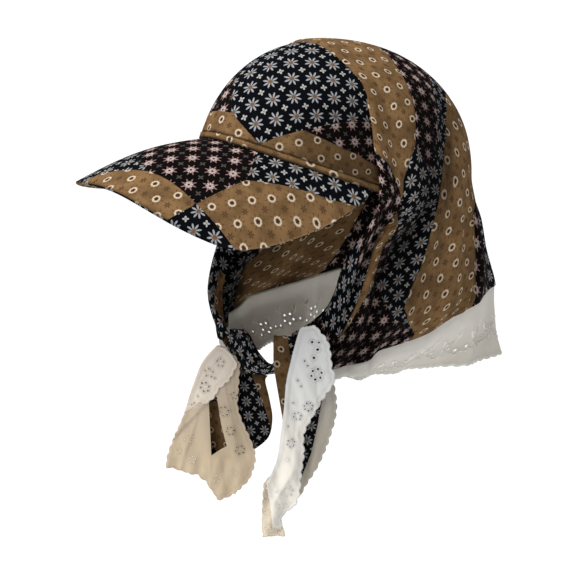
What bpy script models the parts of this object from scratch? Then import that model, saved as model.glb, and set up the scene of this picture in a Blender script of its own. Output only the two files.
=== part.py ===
"""A peaked cap with a large headscarf sewn over its crown, the two scarf ends tied under the chin.

Metres. +Z is up, the face looks towards -Y and the wearer's left is at +X. The origin lies on the
head's axis, level with the front of the crown's lower edge.
"""
import bmesh
import bpy
import numpy as np
from math import cos, pi, radians, sin
from mathutils import Vector

# Head shape that the cloth follows: centre of the widest level, and the dome above it
HEAD_Y = 0.017
HEAD_Z = -0.0465
DOME_HALF_WIDTH = 0.081
DOME_FRONT = 0.106
DOME_BACK = 0.1424
DOME_HEIGHT = 0.117
DOME_SQUARENESS = 2.12
BACK_SQUARENESS = 2.6
HEAD_MIDDLE = Vector((0.0, 0.03, -0.08))

# Crown and its stitched band
CROWN_WALL = 0.0013
RIM_DROP = 0.040
BAND_HEIGHT = 0.005
BAND_TURN = 94.0
CROWN_REAR_LEAN = 0.050
SEAM_GAP = 0.0003

# Peak
PEAK_HALF_WIDTH = 0.110
PEAK_REACH = 0.181
PEAK_SIDE_Y = -0.0137
PEAK_TIP_Z = -0.026
PEAK_ARCH_LEFT = 0.0525
PEAK_ARCH_RIGHT = 0.0270
PEAK_ARCH_POWER = 2.35
PEAK_PLAN_POWER = 0.69
PEAK_END_TURN = 86.0
PEAK_WALL = 0.0026
PEAK_LIFT = 0.008

# Scarf
SCARF_WALL = 0.0013
SCARF_OFFSET = 0.0022
SCARF_TOP_LEAN = -4.0
SCARF_TEMPLE_TURN = 89.5

# Hood sections below the widest level: height, half width and front reach on each side, back reach
SECTION_Z = [0.020, -0.0465, -0.080, -0.110, -0.140, -0.165, -0.200]
LEFT_WIDTH = [0.0833, 0.0833, 0.0870, 0.0880, 0.0880, 0.0870, 0.0840]
LEFT_FRONT = [0.1080, 0.0850, 0.0690, 0.0630, 0.0650, 0.0660, 0.0660]
RIGHT_WIDTH = [0.0833, 0.0833, 0.0900, 0.0960, 0.0980, 0.0950, 0.0880]
RIGHT_FRONT = [0.1080, 0.0900, 0.0800, 0.0800, 0.0810, 0.0740, 0.0640]
BACK_REACH = [0.1446, 0.1446, 0.1505, 0.1590, 0.1680, 0.1740, 0.1790]

# Front edge of the scarf: share of the way from the widest level to the hem, and the turn from the front
EDGE_V = [0.0, 0.12, 0.28, 0.47, 0.70, 0.80, 0.90, 1.0]
EDGE_LEFT = [89.5, 84.5, 72.0, 61.0, 54.0, 49.5, 41.5, 30.5]
EDGE_RIGHT = [89.5, 84.5, 72.0, 61.0, 45.0, 36.0, 26.0, 14.0]

# Height of the hem by share of the way from the knot to the centre back, for the left and right halves.
# The first rows are the short upright ends that are drawn into the knot.
HEM_T = [0.0, 0.020, 0.045, 0.070, 0.12, 0.25, 0.40, 0.50, 0.60, 0.70, 0.80, 1.0]
HEM_LEFT = [-0.1535, -0.1640, -0.1790, -0.1870, -0.1815, -0.1772, -0.1665, -0.1570, -0.1500, -0.1455, -0.1455, -0.1480]
HEM_RIGHT = [-0.1660, -0.1720, -0.1810, -0.1870, -0.1815, -0.1772, -0.1665, -0.1570, -0.1500, -0.1455, -0.1455, -0.1480]

# Folds of the scarf: place at the temple, place at the hem, half width, height above, height below
FOLDS = [
    (0.015, 0.020, 0.024, 0.0046, 0.0040),
    (0.070, 0.085, 0.022, 0.0000, -0.0035),
    (0.125, 0.150, 0.030, 0.0010, 0.0050),
    (0.205, 0.240, 0.026, 0.0000, -0.0030),
    (0.290, 0.330, 0.034, 0.0006, 0.0045),
    (0.450, 0.470, 0.040, 0.0000, 0.0040),
    (0.620, 0.640, 0.040, 0.0000, 0.0045),
    (0.820, 0.840, 0.035, 0.0000, 0.0055),
    (1.000, 1.000, 0.045, 0.0000, 0.0040),
]

# Hem lace by share of the way from the knot to the centre back: width, and inward lean in degrees
LACE_WALL = 0.0010
LACE_START = 0.07
LACE_GAP = 0.0008
LACE_DROP = 0.0030
LACE_T = [0.0, 0.15, 0.30, 0.50, 0.70, 0.85, 1.0]
LACE_WIDTH = [0.024, 0.031, 0.039, 0.047, 0.057, 0.061, 0.061]
LACE_LEAN = [76.0, 76.0, 65.0, 39.0, 8.0, -6.0, -12.0]
LACE_FLUTES = 15
LACE_FLUTE_DEPTH = 0.0035

# Knot: a pleated bundle under the chin
KNOT_START = (-0.0228, -0.0512, -0.1755)
KNOT_END = (0.0457, -0.0418, -0.1700)
KNOT_SAG = (0.0, -0.0040, -0.0050)
KNOT_HALF_HEIGHT = 0.0150
KNOT_HALF_DEPTH = 0.0062
KNOT_PLEATS = 5
KNOT_PLEAT_DEPTH = 0.0009

# Hanging ends. Each row: left place, left height, right place, right height, left depth, right depth.
# Places run sideways in the plane that the tail faces, depths run out of it.
LEFT_TAIL_TURN = 54.0
RIGHT_TAIL_TURN = 30.0
TAIL_LEFT = [
    (-0.0200, -0.1540, 0.0020, -0.1510, 0.0618, 0.0805),
    (-0.0200, -0.1650, 0.0120, -0.1640, 0.0618, 0.0810),
    (-0.0195, -0.1790, 0.0180, -0.1780, 0.0664, 0.0815),
    (-0.0150, -0.2050, 0.0210, -0.2050, 0.0760, 0.0810),
    (-0.0100, -0.2350, 0.0180, -0.2340, 0.0770, 0.0790),
    (-0.0050, -0.2600, 0.0110, -0.2590, 0.0770, 0.0780),
    (-0.0010, -0.2730, 0.0040, -0.2720, 0.0770, 0.0775),
]
TAIL_LEFT_LACE = [
    (0.0010, -0.1420, 0.0130, -0.1400, 0.0821, 0.0821),
    (-0.0030, -0.1560, 0.0235, -0.1540, 0.0821, 0.0821),
    (-0.0075, -0.1750, 0.0265, -0.1740, 0.0821, 0.0821),
    (-0.0100, -0.1880, 0.0288, -0.1850, 0.0825, 0.0825),
    (-0.0115, -0.2070, 0.0180, -0.2030, 0.0830, 0.0830),
    (-0.0140, -0.2290, 0.0055, -0.2270, 0.0830, 0.0830),
    (-0.0165, -0.2480, 0.0050, -0.2460, 0.0830, 0.0830),
    (-0.0215, -0.2620, 0.0030, -0.2610, 0.0825, 0.0825),
    (-0.0285, -0.2750, 0.0015, -0.2780, 0.0820, 0.0820),
    (-0.0295, -0.2900, -0.0025, -0.2900, 0.0810, 0.0810),
    (-0.0300, -0.3030, -0.0130, -0.3020, 0.0805, 0.0805),
    (-0.0293, -0.3180, -0.0095, -0.3175, 0.0800, 0.0800),
]
TAIL_LEFT_BACK = [
    (0.0130, -0.1800, 0.0270, -0.1810, 0.0785, 0.0775),
    (0.0140, -0.2080, 0.0305, -0.2090, 0.0775, 0.0765),
    (0.0100, -0.2300, 0.0260, -0.2320, 0.0755, 0.0750),
    (0.0050, -0.2520, 0.0190, -0.2530, 0.0745, 0.0740),
    (-0.0030, -0.2740, 0.0065, -0.2760, 0.0745, 0.0740),
    (-0.0060, -0.2840, 0.0015, -0.2850, 0.0745, 0.0740),
]
TAIL_RIGHT = [
    (-0.0340, -0.1925, -0.0090, -0.1960, 0.0410, 0.0415),
    (-0.0450, -0.2000, -0.0110, -0.2010, 0.0410, 0.0420),
    (-0.0570, -0.2150, -0.0090, -0.2150, 0.0400, 0.0420),
    (-0.0640, -0.2320, -0.0068, -0.2320, 0.0400, 0.0420),
    (-0.0650, -0.2480, -0.0100, -0.2480, 0.0400, 0.0415),
    (-0.0630, -0.2620, -0.0210, -0.2600, 0.0400, 0.0410),
    (-0.0600, -0.2760, -0.0420, -0.2740, 0.0400, 0.0400),
]
TAIL_RIGHT_LACE = [
    (-0.0520, -0.1740, -0.0440, -0.1745, 0.0455, 0.0480),
    (-0.0640, -0.1880, -0.0303, -0.1840, 0.0460, 0.0502),
    (-0.0700, -0.2010, -0.0305, -0.1980, 0.0465, 0.0492),
    (-0.0750, -0.2140, -0.0320, -0.2120, 0.0470, 0.0480),
    (-0.0810, -0.2310, -0.0333, -0.2260, 0.0475, 0.0465),
    (-0.0870, -0.2470, -0.0280, -0.2400, 0.0475, 0.0465),
    (-0.0960, -0.2635, -0.0210, -0.2540, 0.0475, 0.0460),
    (-0.1005, -0.2780, -0.0175, -0.2680, 0.0475, 0.0460),
    (-0.1010, -0.2890, -0.0240, -0.2880, 0.0475, 0.0460),
]
TAIL_RIGHT_SAG = 0.021
# Opening in the right tail's lace, through which the printed cloth shows: height, left and right place
SLIT_Z = [-0.2740, -0.2660, -0.2470, -0.2310, -0.2190]
SLIT_LEFT = [-0.0600, -0.0590, -0.0615, -0.0640, -0.0580]
SLIT_RIGHT = [-0.0560, -0.0460, -0.0475, -0.0520, -0.0550]


def smooth(x):
    x = np.clip(x, 0.0, 1.0)
    return x * x * (3.0 - 2.0 * x)


def curve(x, xs, ys):
    """Smooth curve through the points of a table, flat where the table is."""
    xs, ys = np.asarray(xs, float), np.asarray(ys, float)
    if xs[0] > xs[-1]:
        xs, ys = xs[::-1], ys[::-1]
    x = np.clip(x, xs[0], xs[-1])
    k = np.clip(np.searchsorted(xs, x, side="right") - 1, 0, len(xs) - 2)
    slope = np.gradient(ys, xs)
    h = xs[k + 1] - xs[k]
    s = (x - xs[k]) / h
    a = ys[k] * (1 + 2 * s) * (1 - s) ** 2 + ys[k + 1] * s * s * (3 - 2 * s)
    return a + h * (slope[k] * s * (1 - s) ** 2 - slope[k + 1] * s * s * (1 - s))


def level_shape(across, back, width, front_reach, back_reach):
    """Outline of one level: an ellipse in front, squarer behind. across and back are a unit direction."""
    n = np.where(back > 0, 2.0 / BACK_SQUARENESS, 1.0)
    x = width * np.sign(across) * np.abs(across) ** n
    y = HEAD_Y + np.where(back > 0, back_reach, front_reach) * np.sign(back) * np.abs(back) ** n
    return x, y


def dome(direction, offset=0.0):
    """Point of the dome, seen from the middle of its widest level."""
    d = direction / np.linalg.norm(direction, axis=-1, keepdims=True)
    n = 2.0 / DOME_SQUARENESS
    up = np.clip(d[..., 2], 0.0, 1.0)
    flat = np.hypot(d[..., 0], d[..., 1]) + 1e-12
    size = flat ** n
    x, y = level_shape(d[..., 0] / flat, d[..., 1] / flat, (DOME_HALF_WIDTH + offset) * size,
                       (DOME_FRONT + offset) * size, (DOME_BACK + offset) * size)
    return np.stack([x, y, HEAD_Z + (DOME_HEIGHT + offset) * up ** n], -1)


def on_level(turn, z, offset=0.0):
    """Point of the dome at a height and a turn from the front, towards the wearer's left."""
    h = np.clip((z - HEAD_Z) / (DOME_HEIGHT + offset), 0.0, 1.0)
    s = (1.0 - h ** DOME_SQUARENESS) ** (1.0 / DOME_SQUARENESS)
    x, y = level_shape(np.sin(turn), -np.cos(turn), (DOME_HALF_WIDTH + offset) * s,
                       (DOME_FRONT + offset) * s, (DOME_BACK + offset) * s)
    return np.stack([x, y, z + 0.0 * x], -1)


def rim_height(turn):
    return -RIM_DROP * (1.0 - np.cos(turn))


def peak_point(s, t):
    """Peak's upper face: s from the right temple to the left one, t from the rim to the outer edge."""
    turn = s * radians(PEAK_END_TURN)
    inner = on_level(turn, rim_height(turn), -CROWN_WALL)
    end = on_level(np.sign(s) * radians(PEAK_END_TURN), rim_height(radians(PEAK_END_TURN)), 0.0015)
    a = s * pi / 2
    x = PEAK_HALF_WIDTH * np.abs(np.sin(a)) ** PEAK_PLAN_POWER * np.sign(s)
    y = PEAK_SIDE_Y - (PEAK_REACH + PEAK_SIDE_Y) * np.abs(np.cos(a)) ** PEAK_PLAN_POWER
    arch = np.where(x > 0, PEAK_ARCH_LEFT, PEAK_ARCH_RIGHT)
    z = PEAK_TIP_Z - arch * np.abs(x / PEAK_HALF_WIDTH) ** PEAK_ARCH_POWER
    w = smooth((np.abs(s) - 0.6) / 0.4)[..., None]
    outer = np.stack([x, y, z], -1) * (1 - w) + end * w
    p = inner * (1 - t[..., None]) + outer * t[..., None]
    p[..., 2] += PEAK_LIFT * np.sin(pi * t) * (1 - np.abs(s)) - 0.0005
    return p


def fold_height(t, above, below):
    """Outward push of the folds; above and below grow from the top to the temple and on to the hem."""
    push = 0.0 * t
    for top, low, half, up, down in FOLDS:
        place = top + (low - top) * below
        push = push + (up * above + (down - up) * smooth(below / 0.45)) * np.exp(-((t - place) / half) ** 2)
    return push


def hood_point(t, w, side):
    """Scarf: t from the front edge to the centre back, w from the top line to the hem, side +1 or -1."""
    lean = radians(SCARF_TOP_LEAN) * (1 - t) + pi / 2 * t
    temple = radians(SCARF_TEMPLE_TURN) * (1 - t) + pi * t
    hem = curve(t, HEM_T, HEM_LEFT if side > 0 else HEM_RIGHT)
    zero = 0.0 * t
    top = np.stack([zero, np.sin(lean), np.cos(lean)], -1)
    low = np.stack([np.sin(temple), -np.cos(temple), zero], -1)
    mid = np.stack([np.sin(temple), np.sin(lean), np.cos(lean)], -1)
    arc = np.arccos(np.clip((top * low).sum(-1), -1, 1)) * 0.115
    share = arc / (arc + (HEAD_Z - hem) * 1.05)
    s = np.clip(w / np.maximum(share, 1e-6), 0, 1)[..., None]
    upper = dome((1 - s) ** 2 * top + 2 * s * (1 - s) * mid + s * s * low + 1e-9, SCARF_OFFSET)
    v = np.clip((w - share) / (1 - share), 0, 1)
    turn = curve(v, EDGE_V, EDGE_LEFT if side > 0 else EDGE_RIGHT)
    turn = radians(1) * (turn * (1 - t) + 180 * t)
    z = HEAD_Z + (hem - HEAD_Z) * v
    width = curve(z, SECTION_Z, LEFT_WIDTH if side > 0 else RIGHT_WIDTH)
    front = curve(z, SECTION_Z, LEFT_FRONT if side > 0 else RIGHT_FRONT)
    back = curve(z, SECTION_Z, BACK_REACH)
    x, y = level_shape(np.sin(turn), -np.cos(turn), width, front, back)
    lower = np.stack([x, y, z], -1)
    point = np.where((w < share)[..., None], upper, lower)
    point[..., 0] *= side
    push = fold_height(t, smooth(s[..., 0]), v)
    return point, push


def tail_point(u, v, rows, turn, sag=0.0):
    """Curtain through the table rows: u from left to right, v from the first row to the last."""
    rows = np.array(rows)
    place = np.linspace(0.0, 1.0, len(rows))
    left, left_z, right, right_z, left_d, right_d = [curve(v, place, rows[:, k]) for k in range(6)]
    along = left * (1 - u) + right * u
    z = left_z * (1 - u) + right_z * u - sag * v ** 4 * np.sin(pi * u ** 1.4)
    depth = left_d * (1 - u) + right_d * u + 0.0012 * np.sin(pi * u) * np.sin(pi * np.minimum(v * 4, 1) / 2)
    a = radians(turn)
    return np.stack([along * cos(a) + depth * sin(a), along * sin(a) - depth * cos(a), z], -1), along, z


def grid_faces(ids, keep=None):
    """Quads of a grid of vertex numbers."""
    faces = []
    for i in range(ids.shape[0] - 1):
        for j in range(ids.shape[1] - 1):
            if keep is None or keep[i, j]:
                loop = [ids[i, j], ids[i + 1, j], ids[i + 1, j + 1], ids[i, j + 1]]
                faces.append([int(k) for n, k in enumerate(loop) if k != loop[n - 1]])
    return faces


def wall(name, points, faces, thickness, colour):
    """Closed wall: a surface that faces away from the head's middle, thickened inwards, its edges closed."""
    bm = bmesh.new()
    verts = [bm.verts.new(p) for p in points]
    for f in faces:
        bm.faces.new([verts[k] for k in f])
    loose = [v for v in verts if not v.link_faces]
    for v in loose:
        bm.verts.remove(v)
    bm.normal_update()
    score = sum((f.calc_center_median() - HEAD_MIDDLE).dot(f.normal) * f.calc_area() for f in bm.faces)
    if score < 0:
        bmesh.ops.reverse_faces(bm, faces=bm.faces[:])
        bm.normal_update()
    rims = [(e.verts[0], e.verts[1], e.link_faces[0]) for e in bm.edges if len(e.link_faces) == 1]
    twin = {v: bm.verts.new(v.co - v.normal * thickness) for v in list(bm.verts)}
    for f in list(bm.faces):
        bm.faces.new([twin[v] for v in reversed(f.verts)])
    for a, b, f in rims:
        loop = list(f.verts)
        first, second = (a, b) if loop[(loop.index(a) + 1) % len(loop)] is b else (b, a)
        bm.faces.new([second, first, twin[first], twin[second]])
    bmesh.ops.recalc_face_normals(bm, faces=bm.faces[:])
    return finish(name, bm, colour)


def finish(name, bm, colour):
    """Make the named object with its own material."""
    if bm.calc_volume(signed=True) < 0:
        bmesh.ops.reverse_faces(bm, faces=bm.faces[:])
    mesh = bpy.data.meshes.new(name)
    bm.to_mesh(mesh)
    bm.free()
    for p in mesh.polygons:
        p.use_smooth = True
    obj = bpy.data.objects.new(name, mesh)
    bpy.context.scene.collection.objects.link(obj)
    mat = bpy.data.materials.new(name)
    mat.use_nodes = True
    shader = mat.node_tree.nodes["Principled BSDF"]
    shader.inputs["Base Color"].default_value = (*colour, 1.0)
    shader.inputs["Roughness"].default_value = 0.85
    mesh.materials.append(mat)
    return obj


def patch(name, point, nu, nv, u_end, thickness, colour):
    """Wall over a plain grid of the point function, with u from -u_end to u_end and v from 0 to 1."""
    u, v = np.meshgrid(np.linspace(-u_end, u_end, nu + 1), np.linspace(0, 1, nv + 1), indexing="ij")
    points = point(u, v).reshape(-1, 3)
    ids = np.arange(points.shape[0]).reshape(u.shape)
    return wall(name, points, grid_faces(ids), thickness, colour)


def build_peak():
    patch("peak", peak_point, 32, 6, 0.975, PEAK_WALL, (0.20, 0.12, 0.07))


def crown_point(u, v):
    """Crown: u from the right temple to the left one, v from above the band up to the hidden rear edge."""
    turn = u * radians(BAND_TURN)
    low = on_level(turn, rim_height(turn) + BAND_HEIGHT + SEAM_GAP)
    level = np.clip((low[..., 2] - HEAD_Z) / DOME_HEIGHT, 0, 1) ** (DOME_SQUARENESS / 2)
    flat = np.sqrt(1 - level ** 2)
    unit = np.stack([np.sin(turn) * flat, -np.cos(turn) * flat, level], -1)
    side = u * radians(84.0)
    last = np.stack([np.sin(side), CROWN_REAR_LEAN + 0.0 * side, np.cos(side)], -1)
    last = last / np.linalg.norm(last, axis=-1, keepdims=True)
    angle = np.arccos(np.clip((unit * last).sum(-1), -1, 1))[..., None]
    k = v[..., None]
    mix = (np.sin((1 - k) * angle) * unit + np.sin(k * angle) * last) / np.maximum(np.sin(angle), 1e-9)
    return dome(mix)


def band_point(u, v):
    turn = u * radians(BAND_TURN)
    return on_level(turn, rim_height(turn) + BAND_HEIGHT * v)


def build_crown():
    patch("crown", crown_point, 28, 8, 1.0, CROWN_WALL, (0.05, 0.05, 0.07))
    patch("crown_band", band_point, 44, 1, 1.0, CROWN_WALL, (0.18, 0.11, 0.06))


def push_out(points, faces, push):
    """Move points along their own normals by the fold height."""
    bm = bmesh.new()
    verts = [bm.verts.new(p) for p in points]
    for f in faces:
        bm.faces.new([verts[k] for k in f])
    bm.normal_update()
    score = sum((f.calc_center_median() - HEAD_MIDDLE).dot(f.normal) for f in bm.faces)
    sign = 1.0 if score > 0 else -1.0
    normals = np.array([v.normal for v in verts]) * sign
    bm.free()
    return points + normals * push[:, None]


def hood_grid(nt, nw):
    """Scarf points, faces, and the vertex numbers as a grid from the right hem over the top to the left."""
    t = np.linspace(0, 1, nt + 1)
    w = np.linspace(0, 1, nw + 1)
    tt, ww = np.meshgrid(t, w, indexing="ij")
    left, left_push = hood_point(tt, ww, 1)
    right, right_push = hood_point(tt, ww, -1)
    points = np.concatenate([right[:, :0:-1], left], axis=1)
    push = np.concatenate([right_push[:, :0:-1], left_push], axis=1)
    ids = np.arange(points.shape[0] * points.shape[1]).reshape(points.shape[:2])
    ids[-1] = [min(a, b) for a, b in zip(ids[-1], ids[-1][::-1])]
    used = np.unique(ids)
    renumber = {int(k): n for n, k in enumerate(used)}
    grid = np.vectorize(renumber.get)(ids)
    flat, push = points.reshape(-1, 3)[used], push.reshape(-1)[used]
    faces = [f for f in grid_faces(grid) if len(set(f)) > 2]
    return push_out(flat, faces, push), faces, grid


def build_scarf():
    nt, nw = 20, 26
    points, faces, grid = hood_grid(nt, nw)
    wall("scarf", points, faces, SCARF_WALL, (0.06, 0.05, 0.06))
    return points, grid


def lace_grid(hem, share, nv):
    """Lace hanging from hem points; share tells how far each lies from the knot to the centre back."""
    rows = []
    middle = np.array([0.0, 0.045, 0.0])
    inward = middle - hem
    inward[:, 2] = 0
    inward /= np.linalg.norm(inward, axis=1, keepdims=True)
    width = curve(share, LACE_T, LACE_WIDTH)
    lean = np.radians(curve(share, LACE_T, LACE_LEAN))
    run = np.concatenate([[0], np.cumsum(np.linalg.norm(np.diff(hem, axis=0), axis=1))])
    wave = np.sin(2 * pi * LACE_FLUTES * run / run[-1])
    point = hem.copy()
    point[:, 2] -= LACE_GAP
    point += inward * 0.00015
    rows.append(point.copy())
    point[:, 2] -= LACE_DROP
    rows.append(point.copy())
    for k in range(1, nv + 1):
        u = (k - 0.5) / nv
        a = (lean * smooth(u / 0.3))[:, None]
        step = (width / nv)[:, None]
        point = point + step * (np.sin(a) * inward + np.cos(a) * np.array([0, 0, -1.0]))
        flute = (LACE_FLUTE_DEPTH * smooth(k / nv) * wave)[:, None]
        rows.append(point - flute * inward)
    return np.stack(rows, 1)


def build_hem_lace(points, grid):
    nt = grid.shape[0] - 1
    first = int(round(LACE_START * nt))
    right = [(k / nt, points[grid[k, 0]]) for k in range(first, nt)]
    left = [(k / nt, points[grid[k, -1]]) for k in range(nt, first - 1, -1)]
    share = np.array([a for a, _ in right + left])
    hem = np.array([b for _, b in right + left])
    dense = np.linspace(0, len(share) - 1, 76)
    places = np.arange(len(share))
    share = np.interp(dense, places, share)
    hem = np.stack([np.interp(dense, places, hem[:, k]) for k in range(3)], 1)
    rows = lace_grid(hem, share, 3)
    flat = rows.reshape(-1, 3)
    ids = np.arange(len(flat)).reshape(rows.shape[:2])
    wall("hem_lace", flat, grid_faces(ids), LACE_WALL, (0.80, 0.80, 0.78))


def build_knot():
    start, end, sag = np.array(KNOT_START), np.array(KNOT_END), np.array(KNOT_SAG)
    stations, around = 10, 24
    axis = end - start
    axis /= np.linalg.norm(axis)
    up = np.array([0.0, 0.0, 1.0])
    out = np.cross(up, axis)
    out /= np.linalg.norm(out)
    rings = []
    for i in range(stations + 1):
        k = i / stations
        middle = start * (1 - k) + end * k + sag * sin(pi * k)
        fat = 0.85 + 0.15 * sin(pi * k) ** 0.7
        ring = []
        for j in range(around):
            a = 2 * pi * j / around
            pleat = KNOT_PLEAT_DEPTH * cos(KNOT_PLEATS * 2 * a + 2.0 * k)
            ring.append(middle + up * sin(a) * (KNOT_HALF_HEIGHT * fat + pleat)
                        + out * cos(a) * (KNOT_HALF_DEPTH * fat + pleat))
        rings.append(ring)
    bm = bmesh.new()
    verts = [[bm.verts.new(p) for p in ring] for ring in rings]
    for i in range(stations):
        for j in range(around):
            n = (j + 1) % around
            bm.faces.new([verts[i][j], verts[i + 1][j], verts[i + 1][n], verts[i][n]])
    bm.faces.new(verts[0])
    bm.faces.new(list(reversed(verts[-1])))
    bmesh.ops.recalc_face_normals(bm, faces=bm.faces[:])
    finish("knot", bm, (0.05, 0.05, 0.07))


def build_tail(name, rows, turn, nu, nv, thickness, colour, sag=0.0, slit=False):
    u, v = np.meshgrid(np.linspace(0, 1, nu + 1), np.linspace(0, 1, nv + 1), indexing="ij")
    points, along, z = tail_point(u, v, rows, turn, sag)
    keep = None
    if slit:
        mid_along = (along[:-1, :-1] + along[1:, 1:] + along[1:, :-1] + along[:-1, 1:]) / 4
        mid_z = (z[:-1, :-1] + z[1:, 1:] + z[1:, :-1] + z[:-1, 1:]) / 4
        inside = (mid_z > SLIT_Z[0]) & (mid_z < SLIT_Z[-1])
        inside &= mid_along > np.interp(mid_z, SLIT_Z, SLIT_LEFT)
        inside &= mid_along < np.interp(mid_z, SLIT_Z, SLIT_RIGHT)
        keep = ~inside
    flat = points.reshape(-1, 3)
    ids = np.arange(len(flat)).reshape(u.shape)
    wall(name, flat, grid_faces(ids, keep), thickness, colour)


def main():
    for obj in list(bpy.data.objects):
        bpy.data.objects.remove(obj, do_unlink=True)
    build_peak()
    build_crown()
    points, grid = build_scarf()
    build_hem_lace(points, grid)
    build_knot()
    cloth, lace = (0.07, 0.06, 0.06), (0.84, 0.81, 0.74)
    build_tail("tail_left", TAIL_LEFT, LEFT_TAIL_TURN, 6, 12, SCARF_WALL, cloth)
    build_tail("tail_lace_left", TAIL_LEFT_LACE, LEFT_TAIL_TURN, 6, 15, LACE_WALL, lace)
    build_tail("tail_lace_left_back", TAIL_LEFT_BACK, LEFT_TAIL_TURN, 4, 10, LACE_WALL, lace)
    build_tail("tail_right", TAIL_RIGHT, RIGHT_TAIL_TURN, 8, 10, SCARF_WALL, cloth)
    build_tail("tail_lace_right", TAIL_RIGHT_LACE, RIGHT_TAIL_TURN, 14, 15, LACE_WALL, lace,
               TAIL_RIGHT_SAG, slit=True)


main()
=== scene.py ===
"""Looks of the peaked headscarf cap: printed patchwork cotton, eyelet lace and a soft pale studio.

Metres. +Z is up, the face looks towards -Y and the wearer's left is at +X.
"""
from math import cos, pi, radians, sin

import bpy
import numpy as np
from mathutils import Matrix, Vector
from mathutils.geometry import delaunay_2d_cdt
from mathutils.kdtree import KDTree


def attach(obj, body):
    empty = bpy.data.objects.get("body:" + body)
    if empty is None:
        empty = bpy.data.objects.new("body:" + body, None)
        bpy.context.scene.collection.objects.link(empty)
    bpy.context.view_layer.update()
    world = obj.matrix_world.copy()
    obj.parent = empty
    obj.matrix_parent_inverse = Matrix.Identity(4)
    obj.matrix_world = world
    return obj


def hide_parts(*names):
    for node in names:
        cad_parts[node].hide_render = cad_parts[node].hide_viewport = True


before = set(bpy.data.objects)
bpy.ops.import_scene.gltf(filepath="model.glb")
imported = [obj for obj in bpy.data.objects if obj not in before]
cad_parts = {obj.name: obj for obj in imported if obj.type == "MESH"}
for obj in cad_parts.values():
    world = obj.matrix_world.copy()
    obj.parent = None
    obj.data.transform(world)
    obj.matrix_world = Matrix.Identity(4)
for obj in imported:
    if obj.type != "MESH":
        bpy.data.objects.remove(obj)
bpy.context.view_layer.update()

# Camera: turn and height round the cap, distance, focal length, and where the frame's origin lands
VIEW_TURN = 54.0
VIEW_HEIGHT = 14.0
VIEW_DISTANCE = 1.15
PIXELS = 576
PIXELS_PER_METRE = 1240.0
ORIGIN_PIXEL = (298.4, 130.5)

# Studio: floor's height and half size, sky light, and one soft lamp with its direction and spread in degrees
FLOOR_Z = -0.62
FLOOR_HALF = 60.0
SKY = 0.25
LAMP = 4.4
LAMP_FROM = (0.0, -0.50, 0.86)
LAMP_SOFTNESS = 40.0

# Head shape that the cloth follows
HEAD_Y = 0.017
HEAD_Z = -0.0465
DOME_HALF_WIDTH = 0.081
DOME_FRONT = 0.106
DOME_BACK = 0.1424
DOME_HEIGHT = 0.117
DOME_SQUARENESS = 2.12
BACK_SQUARENESS = 2.6
HEAD_MIDDLE = np.array([0.0, 0.03, -0.08])

# Crown, band and peak. The band's strip has its long edges turned in; these margins, a share of the band's
# height, lie hidden behind the crown and the peak.
RIM_DROP = 0.040
BAND_HEIGHT = 0.005
BAND_MARGIN = 0.16
BAND_TURN = 94.0
BAND_HALF_LENGTH = 0.145
BAND_PUFF = 0.0007
BAND_TUCK = 0.0005
STITCH_LINES = (0.14, 0.86)
STITCHES = 120
STITCH_THREAD = (0.00022, 0.00016)
CROWN_REAR_LEAN = 0.050
CROWN_REAR_TURN = 84.0
SEAM_GAP = 0.0003
PEAK_HALF_WIDTH = 0.110
PEAK_REACH = 0.181
PEAK_SIDE_Y = -0.0137
PEAK_TIP_Z = -0.026
PEAK_ARCH_LEFT = 0.0525
PEAK_ARCH_RIGHT = 0.0270
PEAK_ARCH_POWER = 2.35
PEAK_PLAN_POWER = 0.69
PEAK_END_TURN = 86.0
PEAK_THICKNESS = 0.0025
PEAK_LIFT = 0.008
PEAK_INSET = 0.0013
PEAK_END_OUT = 0.0015
PEAK_DROP = 0.0005
PEAK_ROLL = 0.0008

# Scarf
CLOTH = 0.0008
SCARF_OFFSET = 0.0022
SCARF_TOP_LEAN = -4.0
SCARF_TEMPLE_TURN = 89.5
UPPER_RADIUS = 0.115
LOWER_SLACK = 1.05
SECTION_Z = [0.020, -0.0465, -0.080, -0.110, -0.140, -0.165, -0.200]
LEFT_WIDTH = [0.0833, 0.0833, 0.0870, 0.0880, 0.0880, 0.0870, 0.0840]
LEFT_FRONT = [0.1080, 0.0850, 0.0690, 0.0630, 0.0650, 0.0660, 0.0660]
RIGHT_WIDTH = [0.0833, 0.0833, 0.0900, 0.0960, 0.0980, 0.0950, 0.0880]
RIGHT_FRONT = [0.1080, 0.0900, 0.0800, 0.0800, 0.0810, 0.0740, 0.0640]
BACK_REACH = [0.1446, 0.1446, 0.1505, 0.1590, 0.1680, 0.1740, 0.1790]
EDGE_V = [0.0, 0.12, 0.28, 0.47, 0.70, 0.80, 0.90, 1.0]
EDGE_LEFT = [89.5, 84.5, 72.0, 61.0, 54.0, 49.5, 41.5, 30.5]
EDGE_RIGHT = [89.5, 84.5, 72.0, 61.0, 45.0, 36.0, 26.0, 14.0]
HEM_T = [0.0, 0.020, 0.045, 0.070, 0.12, 0.25, 0.40, 0.50, 0.60, 0.70, 0.80, 1.0]
HEM_BACK = [-0.1870, -0.1815, -0.1772, -0.1665, -0.1570, -0.1500, -0.1455, -0.1455, -0.1480]
HEM_LEFT = [-0.1535, -0.1640, -0.1790, *HEM_BACK]
HEM_RIGHT = [-0.1660, -0.1720, -0.1810, *HEM_BACK]

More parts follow.
